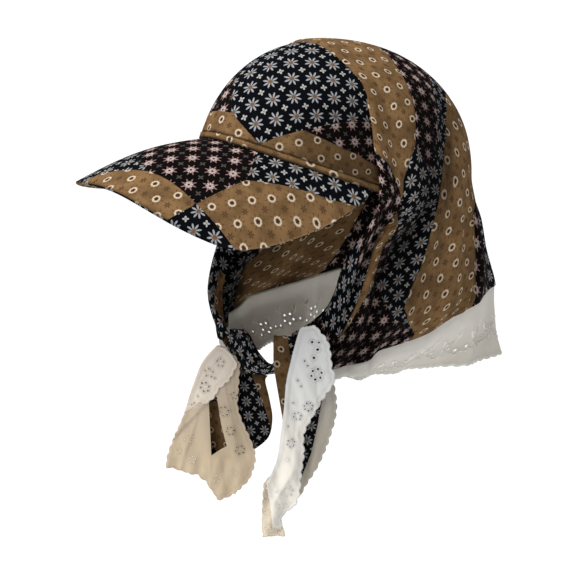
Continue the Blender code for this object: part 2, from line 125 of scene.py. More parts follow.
# Folds of the scarf: place at the temple, place at the hem, half width, height above, height below
FOLDS = [
    (0.015, 0.020, 0.024, 0.0046, 0.0040),
    (0.070, 0.085, 0.018, -0.0012, -0.0042),
    (0.125, 0.150, 0.030, 0.0014, 0.0050),
    (0.205, 0.240, 0.026, 0.0000, -0.0030),
    (0.290, 0.330, 0.034, 0.0006, 0.0045),
    (0.450, 0.470, 0.040, 0.0000, 0.0040),
    (0.620, 0.640, 0.040, 0.0000, 0.0045),
    (0.820, 0.840, 0.035, 0.0000, 0.0055),
    (1.000, 1.000, 0.045, 0.0000, 0.0040),
]


def smooth(x):
    x = np.clip(x, 0.0, 1.0)
    return x * x * (3.0 - 2.0 * x)


def bump_at(x, place, half):
    """Soft bump of height 1 round a place."""
    return np.exp(-((x - place) / half) ** 2)


def curve(x, xs, ys):
    """Smooth curve through the points of a table, flat where the table is."""
    xs, ys = np.asarray(xs, float), np.asarray(ys, float)
    if xs[0] > xs[-1]:
        xs, ys = xs[::-1], ys[::-1]
    x = np.clip(x, xs[0], xs[-1])
    k = np.clip(np.searchsorted(xs, x, side="right") - 1, 0, len(xs) - 2)
    slope = np.gradient(ys, xs)
    h = xs[k + 1] - xs[k]
    s = (x - xs[k]) / h
    a = ys[k] * (1 + 2 * s) * (1 - s) ** 2 + ys[k + 1] * s * s * (3 - 2 * s)
    return a + h * (slope[k] * s * (1 - s) ** 2 - slope[k + 1] * s * s * (1 - s))


def level_shape(across, back, width, front_reach, back_reach):
    """Outline of one level: an ellipse in front, squarer behind. across and back are a unit direction."""
    n = np.where(back > 0, 2.0 / BACK_SQUARENESS, 1.0)
    x = width * np.sign(across) * np.abs(across) ** n
    y = HEAD_Y + np.where(back > 0, back_reach, front_reach) * np.sign(back) * np.abs(back) ** n
    return x, y


def dome(direction, offset=0.0):
    """Point of the dome, seen from the middle of its widest level."""
    d = direction / np.linalg.norm(direction, axis=-1, keepdims=True)
    n = 2.0 / DOME_SQUARENESS
    up = np.clip(d[..., 2], 0.0, 1.0)
    flat = np.hypot(d[..., 0], d[..., 1]) + 1e-12
    size = flat ** n
    x, y = level_shape(d[..., 0] / flat, d[..., 1] / flat, (DOME_HALF_WIDTH + offset) * size,
                       (DOME_FRONT + offset) * size, (DOME_BACK + offset) * size)
    return np.stack([x, y, HEAD_Z + (DOME_HEIGHT + offset) * up ** n], -1)


def on_level(turn, z, offset=0.0):
    """Point of the dome at a height and a turn from the front, towards the wearer's left."""
    h = np.clip((z - HEAD_Z) / (DOME_HEIGHT + offset), 0.0, 1.0)
    s = (1.0 - h ** DOME_SQUARENESS) ** (1.0 / DOME_SQUARENESS)
    x, y = level_shape(np.sin(turn), -np.cos(turn), (DOME_HALF_WIDTH + offset) * s,
                       (DOME_FRONT + offset) * s, (DOME_BACK + offset) * s)
    return np.stack([x, y, z + 0.0 * x], -1)


def rim_height(turn):
    return -RIM_DROP * (1.0 - np.cos(turn))


def peak_point(s, t):
    """Peak's upper face: s from the right temple to the left one, t from the rim to the outer edge."""
    turn = s * radians(PEAK_END_TURN)
    inner = on_level(turn, rim_height(turn), -PEAK_INSET)
    end = on_level(np.sign(s) * radians(PEAK_END_TURN), rim_height(radians(PEAK_END_TURN)), PEAK_END_OUT)
    a = s * pi / 2
    x = PEAK_HALF_WIDTH * np.abs(np.sin(a)) ** PEAK_PLAN_POWER * np.sign(s)
    y = PEAK_SIDE_Y - (PEAK_REACH + PEAK_SIDE_Y) * np.abs(np.cos(a)) ** PEAK_PLAN_POWER
    arch = np.where(x > 0, PEAK_ARCH_LEFT, PEAK_ARCH_RIGHT)
    z = PEAK_TIP_Z - arch * np.abs(x / PEAK_HALF_WIDTH) ** PEAK_ARCH_POWER
    w = smooth((np.abs(s) - 0.6) / 0.4)[..., None]
    outer = np.stack([x, y, z], -1) * (1 - w) + end * w
    p = inner * (1 - t[..., None]) + outer * t[..., None]
    p[..., 2] += PEAK_LIFT * np.sin(pi * t) * (1 - np.abs(s)) - PEAK_DROP
    return p


def crown_point(u, v):
    """Crown: u from the right temple to the left one, v from above the band up to the hidden rear edge."""
    turn = u * radians(BAND_TURN)
    low = on_level(turn, rim_height(turn) + BAND_HEIGHT + SEAM_GAP)
    level = np.clip((low[..., 2] - HEAD_Z) / DOME_HEIGHT, 0, 1) ** (DOME_SQUARENESS / 2)
    flat = np.sqrt(1 - level ** 2)
    unit = np.stack([np.sin(turn) * flat, -np.cos(turn) * flat, level], -1)
    side = u * radians(CROWN_REAR_TURN)
    last = np.stack([np.sin(side), CROWN_REAR_LEAN + 0.0 * side, np.cos(side)], -1)
    last = last / np.linalg.norm(last, axis=-1, keepdims=True)
    angle = np.arccos(np.clip((unit * last).sum(-1), -1, 1))[..., None]
    k = v[..., None]
    mix = (np.sin((1 - k) * angle) * unit + np.sin(k * angle) * last) / np.maximum(np.sin(angle), 1e-9)
    return dome(mix)


def band_point(u, v):
    turn = u * radians(BAND_TURN)
    return on_level(turn, rim_height(turn) + BAND_HEIGHT * v)


def fold_height(t, above, below):
    """Outward push of the folds; above and below grow from the top to the temple and on to the hem."""
    push = 0.0 * t
    for top, low, half, up, down in FOLDS:
        place = top + (low - top) * below
        push = push + (up * above + (down - up) * smooth(below / 0.45)) * bump_at(t, place, half)
    return push


def hood_point(t, w, side):
    """Scarf: t from the front edge to the centre back, w from the top line to the hem, side +1 or -1."""
    lean = radians(SCARF_TOP_LEAN) * (1 - t) + pi / 2 * t
    temple = radians(SCARF_TEMPLE_TURN) * (1 - t) + pi * t
    hem = curve(t, HEM_T, HEM_LEFT if side > 0 else HEM_RIGHT)
    zero = 0.0 * t
    top = np.stack([zero, np.sin(lean), np.cos(lean)], -1)
    low = np.stack([np.sin(temple), -np.cos(temple), zero], -1)
    mid = np.stack([np.sin(temple), np.sin(lean), np.cos(lean)], -1)
    arc = np.arccos(np.clip((top * low).sum(-1), -1, 1)) * UPPER_RADIUS
    share = arc / (arc + (HEAD_Z - hem) * LOWER_SLACK)
    s = np.clip(w / np.maximum(share, 1e-6), 0, 1)[..., None]
    upper = dome((1 - s) ** 2 * top + 2 * s * (1 - s) * mid + s * s * low + 1e-9, SCARF_OFFSET)
    v = np.clip((w - share) / (1 - share), 0, 1)
    turn = curve(v, EDGE_V, EDGE_LEFT if side > 0 else EDGE_RIGHT)
    turn = radians(1) * (turn * (1 - t) + 180 * t)
    z = HEAD_Z + (hem - HEAD_Z) * v
    width = curve(z, SECTION_Z, LEFT_WIDTH if side > 0 else RIGHT_WIDTH)
    front = curve(z, SECTION_Z, LEFT_FRONT if side > 0 else RIGHT_FRONT)
    back = curve(z, SECTION_Z, BACK_REACH)
    x, y = level_shape(np.sin(turn), -np.cos(turn), width, front, back)
    lower = np.stack([x, y, z], -1)
    point = np.where((w < share)[..., None], upper, lower)
    point[..., 0] *= side
    return point, fold_height(t, smooth(s[..., 0]), v)


# Prints: ground colour, then motifs. Each motif: place in the repeat (0 corner, 0.5 middle), petals, turn,
# distance of a petal's middle, half length and half width in metres, colour. A single petal is a dot.
REPEAT = 0.0165
PRINT_WOBBLE = 0.0009
WEAVE = 0.00055
SEAM_COLOUR = (0.010, 0.008, 0.007)
# Painted shade: the colour that the print is darkened towards in the scarf's deep folds, at the crown's
# temple and over the tails
FOLD_SHADE_COLOUR = (0.001, 0.0004, 0.0002)
GROUNDS = {"navy": (0.0014, 0.0018, 0.0030), "rose": (0.0028, 0.0017, 0.0015), "tan": (0.178, 0.102, 0.044)}
MOTIFS = {
    "navy": [
        (0.0, 8, 0.00, 0.0040, 0.0022, 0.00078, (0.300, 0.315, 0.330)),
        (0.0, 8, 0.39, 0.0018, 0.0006, 0.00042, (0.240, 0.175, 0.120)),
        (0.0, 1, 0.00, 0.0000, 0.0013, 0.00130, (0.165, 0.080, 0.045)),
        (0.5, 4, 0.60, 0.0015, 0.0012, 0.00080, (0.390, 0.385, 0.360)),
    ],
    "rose": [
        (0.0, 8, 0.00, 0.0040, 0.0024, 0.00058, (0.270, 0.155, 0.150)),
        (0.0, 8, 0.39, 0.0022, 0.0014, 0.00066, (0.460, 0.390, 0.350)),
        (0.0, 1, 0.00, 0.0000, 0.0009, 0.00090, (0.018, 0.011, 0.010)),
        (0.5, 4, 0.00, 0.0014, 0.0013, 0.00065, (0.070, 0.062, 0.056)),
    ],
    "tan": [
        (0.0, 8, 0.20, 0.0052, 0.0012, 0.00030, (0.050, 0.030, 0.018)),
        (0.0, 9, 0.00, 0.0025, 0.0009, 0.00112, (0.560, 0.455, 0.335)),
        (0.0, 1, 0.00, 0.0000, 0.0018, 0.00180, (0.150, 0.083, 0.038)),
        (0.0, 5, 0.30, 0.0010, 0.0010, 0.00044, (0.024, 0.015, 0.010)),
        (0.5, 6, 0.10, 0.0017, 0.0014, 0.00062, (0.082, 0.043, 0.020)),
    ],
}


class Shade:
    """A number in a shader: ordinary arithmetic on it adds Math nodes."""

    def __init__(self, tree, socket):
        self.tree = tree
        self.socket = socket

    def op(self, kind, *others):
        node = self.tree.nodes.new("ShaderNodeMath")
        node.operation = kind
        for k, value in enumerate((self, *others)):
            if isinstance(value, Shade):
                self.tree.links.new(value.socket, node.inputs[k])
            else:
                node.inputs[k].default_value = value
        return Shade(self.tree, node.outputs[0])

    def __add__(self, other):
        return self.op("ADD", other)

    def __sub__(self, other):
        return self.op("SUBTRACT", other)

    def __mul__(self, other):
        return self.op("MULTIPLY", other)

    def __truediv__(self, other):
        return self.op("DIVIDE", other)

    def ramp(self, low, high):
        """Smooth step from 0 at low to 1 at high."""
        node = self.tree.nodes.new("ShaderNodeMapRange")
        node.interpolation_type = "SMOOTHSTEP"
        node.inputs["From Min"].default_value = low
        node.inputs["From Max"].default_value = high
        self.tree.links.new(self.socket, node.inputs["Value"])
        return Shade(self.tree, node.outputs["Result"])


def attribute(tree, name):
    node = tree.nodes.new("ShaderNodeAttribute")
    node.attribute_name = name
    return node


def mix(tree, share, first, second, kind="RGBA"):
    """Mix node; first and second are sockets or plain colours."""
    node = tree.nodes.new("ShaderNodeMix")
    node.data_type = kind
    a, b, out = (6, 7, 2) if kind == "RGBA" else (4, 5, 1)
    for k, value in ((0, share.socket if isinstance(share, Shade) else share), (a, first), (b, second)):
        if isinstance(value, bpy.types.NodeSocket):
            tree.links.new(value, node.inputs[k])
        else:
            node.inputs[k].default_value = (*value, 1.0) if isinstance(value, tuple) else value
    return node.outputs[out]


def noise(tree, scale, detail):
    """Noise over the piece's own place in metres."""
    node = tree.nodes.new("ShaderNodeTexNoise")
    node.inputs["Scale"].default_value = scale
    node.inputs["Detail"].default_value = detail
    tree.links.new(tree.nodes.new("ShaderNodeTexCoord").outputs["Object"], node.inputs["Vector"])
    return node


def cloud(tree, scale, detail):
    return Shade(tree, noise(tree, scale, detail).outputs["Fac"])


def carried(tree, name):
    """Number that the mesh carries at each point."""
    return Shade(tree, attribute(tree, name).outputs["Fac"])


def split(tree, vector):
    """The first two parts of a vector."""
    parts = tree.nodes.new("ShaderNodeSeparateXYZ")
    tree.links.new(vector, parts.inputs[0])
    return Shade(tree, parts.outputs[0]), Shade(tree, parts.outputs[1])


def dress(tree, shader, colour, height, roughness, gloss, relief):
    """Gives the cloth its colour, its dull surface and its relief; the relief's normal comes back."""
    tree.links.new(colour, shader.inputs["Base Color"])
    shader.inputs["Roughness"].default_value = roughness
    shader.inputs["Specular IOR Level"].default_value = gloss
    bump = tree.nodes.new("ShaderNodeBump")
    bump.inputs["Strength"].default_value = relief
    bump.inputs["Distance"].default_value = 1.0
    tree.links.new(height.socket, bump.inputs["Height"])
    tree.links.new(bump.outputs[0], shader.inputs["Normal"])
    return bump.outputs[0]


def repeat_place(u, v, shift):
    """Distance and angle from the nearest point of the repeat."""
    x = ((u / REPEAT + shift).op("FRACT") - 0.5) * REPEAT
    y = ((v / REPEAT + shift).op("FRACT") - 0.5) * REPEAT
    return (x * x + y * y).op("SQRT"), y.op("ARCTAN2", x)


def petals(place, count, turn, middle, half_length, half_width):
    """Mask of a ring of petals round a point of the repeat."""
    far, angle = place
    if count == 1:
        return far.ramp(half_length * 1.15, half_length * 0.85)
    sector = 2 * pi / count
    across = (((angle + turn) / sector).op("FRACT") - 0.5) * sector
    along = (far * across.op("COSINE") - middle) / half_length
    aside = far * across.op("SINE") / half_width
    return (along * along + aside * aside).ramp(1.25, 0.70)


def cloth_coordinates(tree, frames):
    """The cloth's own coordinates: each patch is cut from its own piece of print."""
    vector = attribute(tree, "uv0").outputs["Vector"]
    for k in range(1, frames):
        choose = carried(tree, f"frame{k}").ramp(-0.00002, 0.00002)
        vector = mix(tree, choose, vector, attribute(tree, f"uv{k}").outputs["Vector"], "VECTOR")
    shift = tree.nodes.new("ShaderNodeVectorMath")
    shift.operation = "MULTIPLY_ADD"
    tree.links.new(noise(tree, 160.0, 1.0).outputs["Color"], shift.inputs[0])
    shift.inputs[1].default_value = (PRINT_WOBBLE, PRINT_WOBBLE, 0.0)
    tree.links.new(vector, shift.inputs[2])
    return split(tree, shift.outputs[0])


def new_material(name):
    mat = bpy.data.materials.new(name)
    mat.use_nodes = True
    return mat, mat.node_tree, mat.node_tree.nodes["Principled BSDF"]


def patchwork_material(name, frames=1):
    """Printed cotton: three prints sewn together, with seams, weave, a faint mottle and painted shade where
    the mesh carries it.
    """
    mat, tree, shader = new_material(name)
    u, v = cloth_coordinates(tree, frames)
    places = {0.0: repeat_place(u, v, 0.0), 0.5: repeat_place(u, v, 0.5)}
    mottle = cloud(tree, 70.0, 3.0).ramp(0.30, 0.72)
    prints = {}
    for kind, ground in GROUNDS.items():
        colour = mix(tree, mottle, tuple(0.72 * c for c in ground), tuple(1.22 * c for c in ground))
        for shift, count, turn, middle, half_length, half_width, ink in MOTIFS[kind]:
            mask = petals(places[shift], count, turn, middle, half_length, half_width)
            colour = mix(tree, mask * 0.94, colour, ink)
        prints[kind] = colour
    colour = prints["navy"]
    for kind in ("rose", "tan"):
        colour = mix(tree, carried(tree, kind).ramp(-0.00008, 0.00008), colour, prints[kind])
    seam = carried(tree, "seam")
    colour = mix(tree, seam.ramp(0.0007, 0.0) * 0.6, colour, SEAM_COLOUR)
    # painted shade, by the share that the mesh carries as shade
    colour = mix(tree, carried(tree, "shade"), colour, FOLD_SHADE_COLOUR)
    weave = (u * (2 * pi / WEAVE)).op("SINE") + (v * (2 * pi / WEAVE)).op("SINE")
    height = weave * 0.00003 + cloud(tree, 900.0, 2.0) * 0.00010 + cloud(tree, 55.0, 3.0) * 0.0009
    height = height + seam.ramp(0.0, 0.0016) * 0.0007
    dress(tree, shader, colour, height, 0.88, 0.05, 0.75)
    return mat


# Lace colours: upper and lower cloth, the heights in metres between which one turns into the other, and the
# share of light that passes straight through. The darker back and lower pieces and the fades from upper to
# lower colour are partly painted shade and partly the lace's own tone.
LACE_GLOW = 0.22
LACE_WEAVE = 0.0008
LACE_STITCH = 0.0006
LACES = {
    "hem_eyelet": ((0.84, 0.81, 0.75), (0.80, 0.76, 0.68), 0.004, 0.040, 0.0),
    "hem_thread": ((0.97, 0.95, 0.90), (0.97, 0.95, 0.90), 0.0, 1.0, 0.0),
    "front_eyelet": ((0.88, 0.89, 0.88), (0.97, 0.93, 0.85), -0.170, -0.245, 0.04),
    "strip_eyelet": ((0.72, 0.62, 0.47), (0.88, 0.78, 0.62), -0.260, -0.310, 0.05),
    "back_eyelet": ((0.52, 0.49, 0.44), (0.60, 0.54, 0.44), -0.180, -0.280, 0.08),
    "flap_eyelet": ((0.76, 0.67, 0.58), (0.88, 0.80, 0.68), -0.176, -0.225, 0.06),
    "lower_eyelet": ((0.62, 0.52, 0.40), (0.66, 0.54, 0.38), -0.195, -0.285, 0.12),
}


def lace_material(name):
    """Thin cotton lawn: fine open weave, light comes through it, embroidery lies paler on it."""
    upper, lower, start, end, clear = LACES[name]
    mat, tree, shader = new_material(name)
    u, v = split(tree, attribute(tree, "uv0").outputs["Vector"])
    thread = carried(tree, "thread")
    base = mix(tree, v.ramp(start, end), upper, lower)
    base = mix(tree, cloud(tree, 45.0, 3.0).ramp(0.25, 0.75) * 0.12, base, tuple(0.55 * c for c in lower))
    # painted shadow beside the raised thread, along the edge and in the eyelets
    base = mix(tree, carried(tree, "shadow") * 0.36, base, tuple(0.42 * c for c in lower))
    base = mix(tree, thread * 0.9, base, tuple(min(0.96, 1.20 * c) for c in upper))
    base = mix(tree, carried(tree, "shade"), base, tuple(0.3 * c for c in lower))
    weave = (u * (2 * pi / LACE_WEAVE)).op("SINE") * (v * (2 * pi / LACE_WEAVE)).op("SINE")
    stitch = ((u + v) * (2 * pi / LACE_STITCH)).op("SINE") * thread
    height = weave * 0.00006 + cloud(tree, 75.0, 4.0) * 0.0016 + stitch * 0.00012
    normal = dress(tree, shader, base, height, 0.82, 0.15, 0.8)
    through = tree.nodes.new("ShaderNodeBsdfTranslucent")
    tree.links.new(base, through.inputs["Color"])
    tree.links.new(normal, through.inputs["Normal"])
    open_air = tree.nodes.new("ShaderNodeBsdfTransparent")
    result = shader.outputs[0]
    for share, other in ((LACE_GLOW, through.outputs[0]), (clear, open_air.outputs[0])):
        if share > 0:
            blend = tree.nodes.new("ShaderNodeMixShader")
            blend.inputs[0].default_value = share
            tree.links.new(result, blend.inputs[1])
            tree.links.new(other, blend.inputs[2])
            result = blend.outputs[0]
    tree.links.new(result, tree.nodes["Material Output"].inputs["Surface"])
    return mat


def plain_material(name, colour, roughness=0.8):
    """Thread or studio floor: one colour with a faint mottle."""
    mat, tree, shader = new_material(name)
    mottled = mix(tree, cloud(tree, 400.0, 2.0), tuple(0.9 * c for c in colour), colour)
    tree.links.new(mottled, shader.inputs["Base Color"])
    shader.inputs["Roughness"].default_value = roughness
    return mat


# Distance, in metres, that stands for a seam or a patch well away from a point
FAR = 0.05


def run_along(line):
    """Length of an open line up to each of its points."""
    return np.concatenate([[0], np.cumsum(np.linalg.norm(np.diff(line, axis=0), axis=1))])


def placed(patches, parts):
    """A table's patches with their corners in metres; parts is how many of its units make one."""
    return [(kind, cut, np.array(corners) / parts) for kind, cut, corners in patches]


def inside_distance(points, corners):
    """Distance from each point to the polygon's edge, positive inside."""
    corners = np.asarray(corners, float)
    best = np.full(len(points), 1e9)
    inside = np.zeros(len(points), bool)
    x, y = points[:, 0], points[:, 1]
    for a, b in zip(corners, np.roll(corners, -1, axis=0)):
        edge = b - a
        k = np.clip(((points - a) @ edge) / max(edge @ edge, 1e-12), 0, 1)
        best = np.minimum(best, np.linalg.norm(points - a - k[:, None] * edge, axis=1))
        crosses = (a[1] > y) != (b[1] > y)
        rise = edge[1] if abs(edge[1]) > 1e-12 else 1e-12
        inside ^= crosses & (x < (y - a[1]) * edge[0] / rise + a[0])
    return np.where(inside, best, -best)


def patch_fields(chart, patches, frames):
    """Signed distances, in metres, to the tan and rose cloth, each cut of print and the nearest seam."""
    keys = ["tan", "rose", *(f"frame{k}" for k in range(1, frames))]
    fields = {key: np.full(len(chart), -FAR) for key in keys}
    seam = np.full(len(chart), FAR)
    for kind, cut, corners in patches:
        inside = inside_distance(chart, corners)
        for key in fields:
            on = key == kind or key == f"frame{cut}"
            fields[key] = np.maximum(fields[key], inside) if on else np.minimum(fields[key], -inside)
        seam = np.where(inside > 0, inside, np.minimum(seam, -inside))
    fields["seam"] = seam
    return fields


def turned(u, v, degrees, du=0.0, dv=0.0):
    """Cloth coordinates turned by the print's grain."""
    a = radians(degrees)
    return np.stack([u * cos(a) - v * sin(a) + du, u * sin(a) + v * cos(a) + dv, 0.0 * u], -1)


def grid_faces(ids):
    """Quads of a grid of vertex numbers, with doubled corners left out."""
    faces = []
    for i in range(ids.shape[0] - 1):
        for j in range(ids.shape[1] - 1):
            loop = [ids[i, j], ids[i + 1, j], ids[i + 1, j + 1], ids[i, j + 1]]
            loop = [int(k) for n, k in enumerate(loop) if k != loop[n - 1]]
            if len(loop) > 2:
                faces.append(loop)
    return faces


def normals_of(points, faces):
    """Vertex normals that face away from the middle of the head, and whether the faces had to be turned."""
    mesh = bpy.data.meshes.new("probe")
    mesh.from_pydata(points.tolist(), [], faces)
    normals = np.array([v.vector for v in mesh.vertex_normals])
    centres = np.array([f.center for f in mesh.polygons])
    facing = np.array([f.normal for f in mesh.polygons])
    flip = float(((centres - HEAD_MIDDLE) * facing).sum()) < 0
    bpy.data.meshes.remove(mesh)
    return (-normals if flip else normals), flip


def add_piece(name, points, faces, material, fields=None, thickness=None, nodes=()):
    """Mesh piece that rides on the cap; a thickness makes the sheet a thin closed wall."""
    _, flip = normals_of(points, faces)
    if flip:
        faces = [f[::-1] for f in faces]
    mesh = bpy.data.meshes.new(name)
    mesh.from_pydata(points.tolist(), [], faces)
    for key, values in (fields or {}).items():
        kind, slot_name = ("FLOAT_VECTOR", "vector") if values.ndim == 2 else ("FLOAT", "value")
        layer = mesh.attributes.new(key, kind, "POINT")
        layer.data.foreach_set(slot_name, values.astype(np.float32).ravel())
    mesh.polygons.foreach_set("use_smooth", [True] * len(mesh.polygons))
    mesh.materials.append(material)
    obj = bpy.data.objects.new(name, mesh)
    bpy.context.scene.collection.objects.link(obj)
    if thickness:
        solid = obj.modifiers.new("cloth", "SOLIDIFY")
        solid.thickness = thickness
        solid.offset = -1.0
        solid.use_quality_normals = True
    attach(obj, "root")
    if nodes:
        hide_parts(*nodes)
    return obj


def mesh_area(points, faces):
    total = 0.0
    for first, *others in faces:
        for a, b in zip(others, others[1:]):
            total += 0.5 * np.linalg.norm(np.cross(points[a] - points[first], points[b] - points[first]))
    return total


def grid_surface(points):
    """A grid of points as one list, with its faces and its outward normals."""
    flat = points.reshape(-1, 3)
    faces = grid_faces(np.arange(len(flat)).reshape(points.shape[:2]))
    return flat, faces, normals_of(flat, faces)[0]


def add_prints(fields, u, v, cuts):
    """Cloth coordinates of each cut of print, from its turn and its shifts."""
    for k, cut in enumerate(cuts):
        fields[f"uv{k}"] = turned(u, v, *cut)


# Patches of the peak, in millimetres of its plan: print, cut, corners. Later rows lie over earlier ones.
PEAK_PATCHES = [
    ("rose", 1, [(66.1, -140.1), (62.1, -93.6), (39.8, -67.3), (30, -40), (-130, -40), (-130, -120),
                 (-40, -120), (0, -150), (22.8, -153.2)]),
    ("tan", 2, [(22.8, -153.2), (66.1, -140.1), (69, -190), (-30, -190), (-24, -170), (-5, -163)]),
    ("tan", 3, [(62.1, -93.6), (73.5, -62), (84.5, -32.8), (89, -8), (130, -8), (130, -112), (90.7, -129.3),
                (66.1, -140.1)]),
]
# Seam on the peak's under side, and how much the print spreads where the peak slopes down
UNDER_SEAM_X = -0.028
PEAK_SLOPE = 0.24
# Turn of the print and shift along and across it for each cut of cloth
PEAK_CUTS = [(38, 0.004, 0.002), (33, 0.001, 0.009), (24, 0.006, 0.003), (10, 0.002, 0.006)]

# Patches of the crown, in millimetres round the middle of its near front
CROWN_PATCHES = [
    ("rose", 1, [(-35.5, 7.9), (-46, 40), (-50, 62), (-40, 82), (-60, 140), (-260, 140), (-260, -60),
                 (-110, -30), (-79.9, 21.3)]),
    ("rose", 2, [(25.7, 1.9), (47.1, 15), (83.1, 40), (115, 60), (180, 40), (180, -10), (103.2, -2),
                 (61, -1.4)]),
    ("tan", 3, [(-35.5, 7.9), (-79.9, 21.3), (-110, 30), (-110, -40), (-10, -40), (-6.9, -16.9)]),
    ("tan", 4, [(-6.9, -16.9), (25.7, 1.9), (61, -1.4), (103.2, -2), (180, -10), (180, -70), (-10, -60)]),
]
CROWN_CUTS = [(-22, 0.003, 0.004), (-15, 0, 0), (-30, 0.005, 0.003), (-12, 0.002, 0.011), (-24, 0.006, 0.010)]
CHART_TURN = 30.0
CHART_LIFT = 35.0
CHART_RADIUS = 0.110
# Soft unevenness of the crown's cloth, and the share of the light that the temple loses
CROWN_PUFF = 0.0006
TEMPLE_SHADE = 0.50

# Patches of the scarf: print, cut, corners in hundredths (place from front edge to centre back, place from
# the top line to the hem, negative on the wearer's right). Cuts 3 and 4 are the back's two halves.
SCARF_PATCHES = [
    ("rose", 1, [(18, 0), (17, 38), (13.8, 46), (18, 52), (25, 46), (30, 37), (35, 28), (44, 12), (46, 0),
                 (44, -14), (34, -32), (26, -46), (18, -52), (14, -46), (17, -38)]),
    ("rose", 1, [(12, 60), (17, 66.5), (22.6, 72.1), (26.9, 82.2), (30.9, 88.6), (36, 93), (43, 98),
                 (46, 105), (-5, 105), (-5, 97), (7.4, 89), (13.4, 82), (18, 78.4), (15.6, 66.7)]),
    ("rose", 3, [(59, 20), (59, 105), (78, 105), (80, 50), (80, 20)]),
    ("rose", 4, [(57, -20), (57, -105), (76, -105), (78, -50), (78, -20)]),
    ("tan", 3, [(93, -1), (89, 12), (86, 40), (84, 105), (102, 105), (102, -1)]),
    ("tan", 4, [(93, 1), (89, -12), (86, -40), (85, -105), (102, -105), (102, 1)]),
    ("tan", 2, [(50.1, 21), (46, 26.5), (41.3, 32.7), (34.9, 40.7), (28.9, 48.7), (24.8, 54.7), (25.7, 61.1),
                (29.3, 68.7), (31.3, 75.6), (31.1, 81), (31.3, 86), (34.5, 90.4), (42.7, 98), (45, 105),
                (61, 105), (61.2, 97), (59.7, 84.8), (60.1, 72.3), (60.5, 62.3), (64.5, 51.3), (62, 32),
                (55, 18)]),
    ("tan", 2, [(50, -21), (40, -33), (30, -45), (26, -60), (29, -75), (34, -92), (38, -105), (58, -105),
                (57, -80), (59, -50), (58, -25)]),
    ("rose", 0, [(-5, 51), (6.8, 54.8), (9, 58), (9.6, 66), (9.8, 72.5), (-5, 72)]),
    ("rose", 0, [(-5, -52), (6, -55), (9, -60), (9, -74), (-5, -72)]),
    ("tan", 0, [(-5, 51.5), (1.2, 51.7), (3, 52), (4.6, 53.3), (6.8, 56), (7.4, 52.1), (9.8, 48.9),
                (13.8, 45.7), (15.4, 42.3), (17, 38.3), (19.2, 32.1), (20, 26.3), (20.4, 19.4), (21.4, 13),
                (23, 3.4), (23, -3), (21, -14), (20, -27), (18, -40), (12, -50), (6, -55), (0, -52),
                (-5, -51)]),
    ("tan", 1, [(7, 57.5), (8.4, 59), (11, 62.5), (15, 66.5), (17, 69.5), (18.2, 74), (16, 78.8),
                (13.2, 81.3), (10.8, 84.5), (8.6, 88), (6.4, 92), (8.2, 85.8), (10, 82.2), (11.3, 78.6),
                (11, 73.7), (10.2, 69.9), (9.4, 65.5), (8.2, 60.7)]),
    ("tan", 1, [(5, -82), (13, -84), (14, -96), (9, -105), (3, -105), (4, -95)]),
]
SCARF_CENTRES = [0.06, 0.24, 0.44, 0.80, 0.80]
# The last number of each cut is how much finer its print is
SCARF_CUTS = [(8, 0.002, 0.003, 1.12), (-12, 0.006, 0.001, 1.22), (30, 0.001, 0.005, 0.94), (18, 0, 0, 1.05),
              (-20, 0.004, 0.002, 1.05)]
# Size of the scarf's chart in metres: from front edge to centre back, from top line to hem
SCARF_CHART = np.array([0.24, 0.30])
BACK_HALVES = 0.58


def build_peak(material):
    """Stiff peak: printed cloth on both faces, turned round its outer edge."""
    s, t = np.meshgrid(np.linspace(-0.975, 0.975, 181), np.linspace(0, 1, 41), indexing="ij")
    top = peak_point(s, t)
    flat = top.reshape(-1, 3)
    ids = np.arange(len(flat)).reshape(s.shape)
    normals, _ = normals_of(flat, grid_faces(ids))
    normals = normals * np.sign(normals[:, 2:3].mean())
    low = flat - normals * PEAK_THICKNESS
    out = np.gradient(top, axis=1).reshape(-1, 3)
    out /= np.linalg.norm(out, axis=1, keepdims=True)
    ring = ids[:, -1].tolist()
    middle = flat[ring] - normals[ring] * PEAK_THICKNESS / 2 + out[ring] * PEAK_ROLL
    n = len(flat)
    faces = grid_faces(ids)
    faces += [[n + k for k in reversed(f)] for f in faces]
    for k, (a, b) in enumerate(zip(ring, ring[1:])):
        faces.append([a, 2 * n + k, 2 * n + k + 1, b])
        faces.append([2 * n + k, n + a, n + b, 2 * n + k + 1])
    for line in (ids[0].tolist(), ids[-1, ::-1].tolist(), ids[::-1, 0].tolist()):
        faces += [[a, b, n + b, n + a] for a, b in zip(line, line[1:])]
    points = np.concatenate([flat, low, middle])
    fields = patch_fields(points[:, :2], placed(PEAK_PATCHES, 1000), len(PEAK_CUTS))
    under = np.arange(len(points)) >= n
    fields["rose"] = np.where(under, -FAR, fields["rose"])
    fields["tan"] = np.where(under, UNDER_SEAM_X - points[:, 0], fields["tan"])
    fields["seam"] = np.where(under, FAR, fields["seam"])
    slope = 1.0 + PEAK_SLOPE * smooth(np.abs(points[:, 0]) / PEAK_HALF_WIDTH)
    add_prints(fields, points[:, 0] * slope, points[:, 1], PEAK_CUTS)
    peak = add_piece("peak_cloth", points, faces, material, fields, nodes=["peak"])
    area = mesh_area(flat, grid_faces(ids))


def crown_chart(points):
    """Flat chart of the crown in metres, true along every line from the middle of its near front."""
    turn, lift = radians(CHART_TURN), radians(CHART_LIFT)
    ahead = np.array([sin(turn) * cos(lift), -cos(turn) * cos(lift), sin(lift)])
    across = np.array([cos(turn), sin(turn), 0.0])
    up = np.cross(across, -ahead)
    d = points - np.array([0.0, HEAD_Y, HEAD_Z])
    d = d / np.linalg.norm(d, axis=-1, keepdims=True)
    angle = np.arccos(np.clip(d @ ahead, -1, 1))
    k = angle / np.maximum(np.sin(angle), 1e-9) * CHART_RADIUS
    return np.stack([(d @ across) * k, (d @ up) * k], -1)


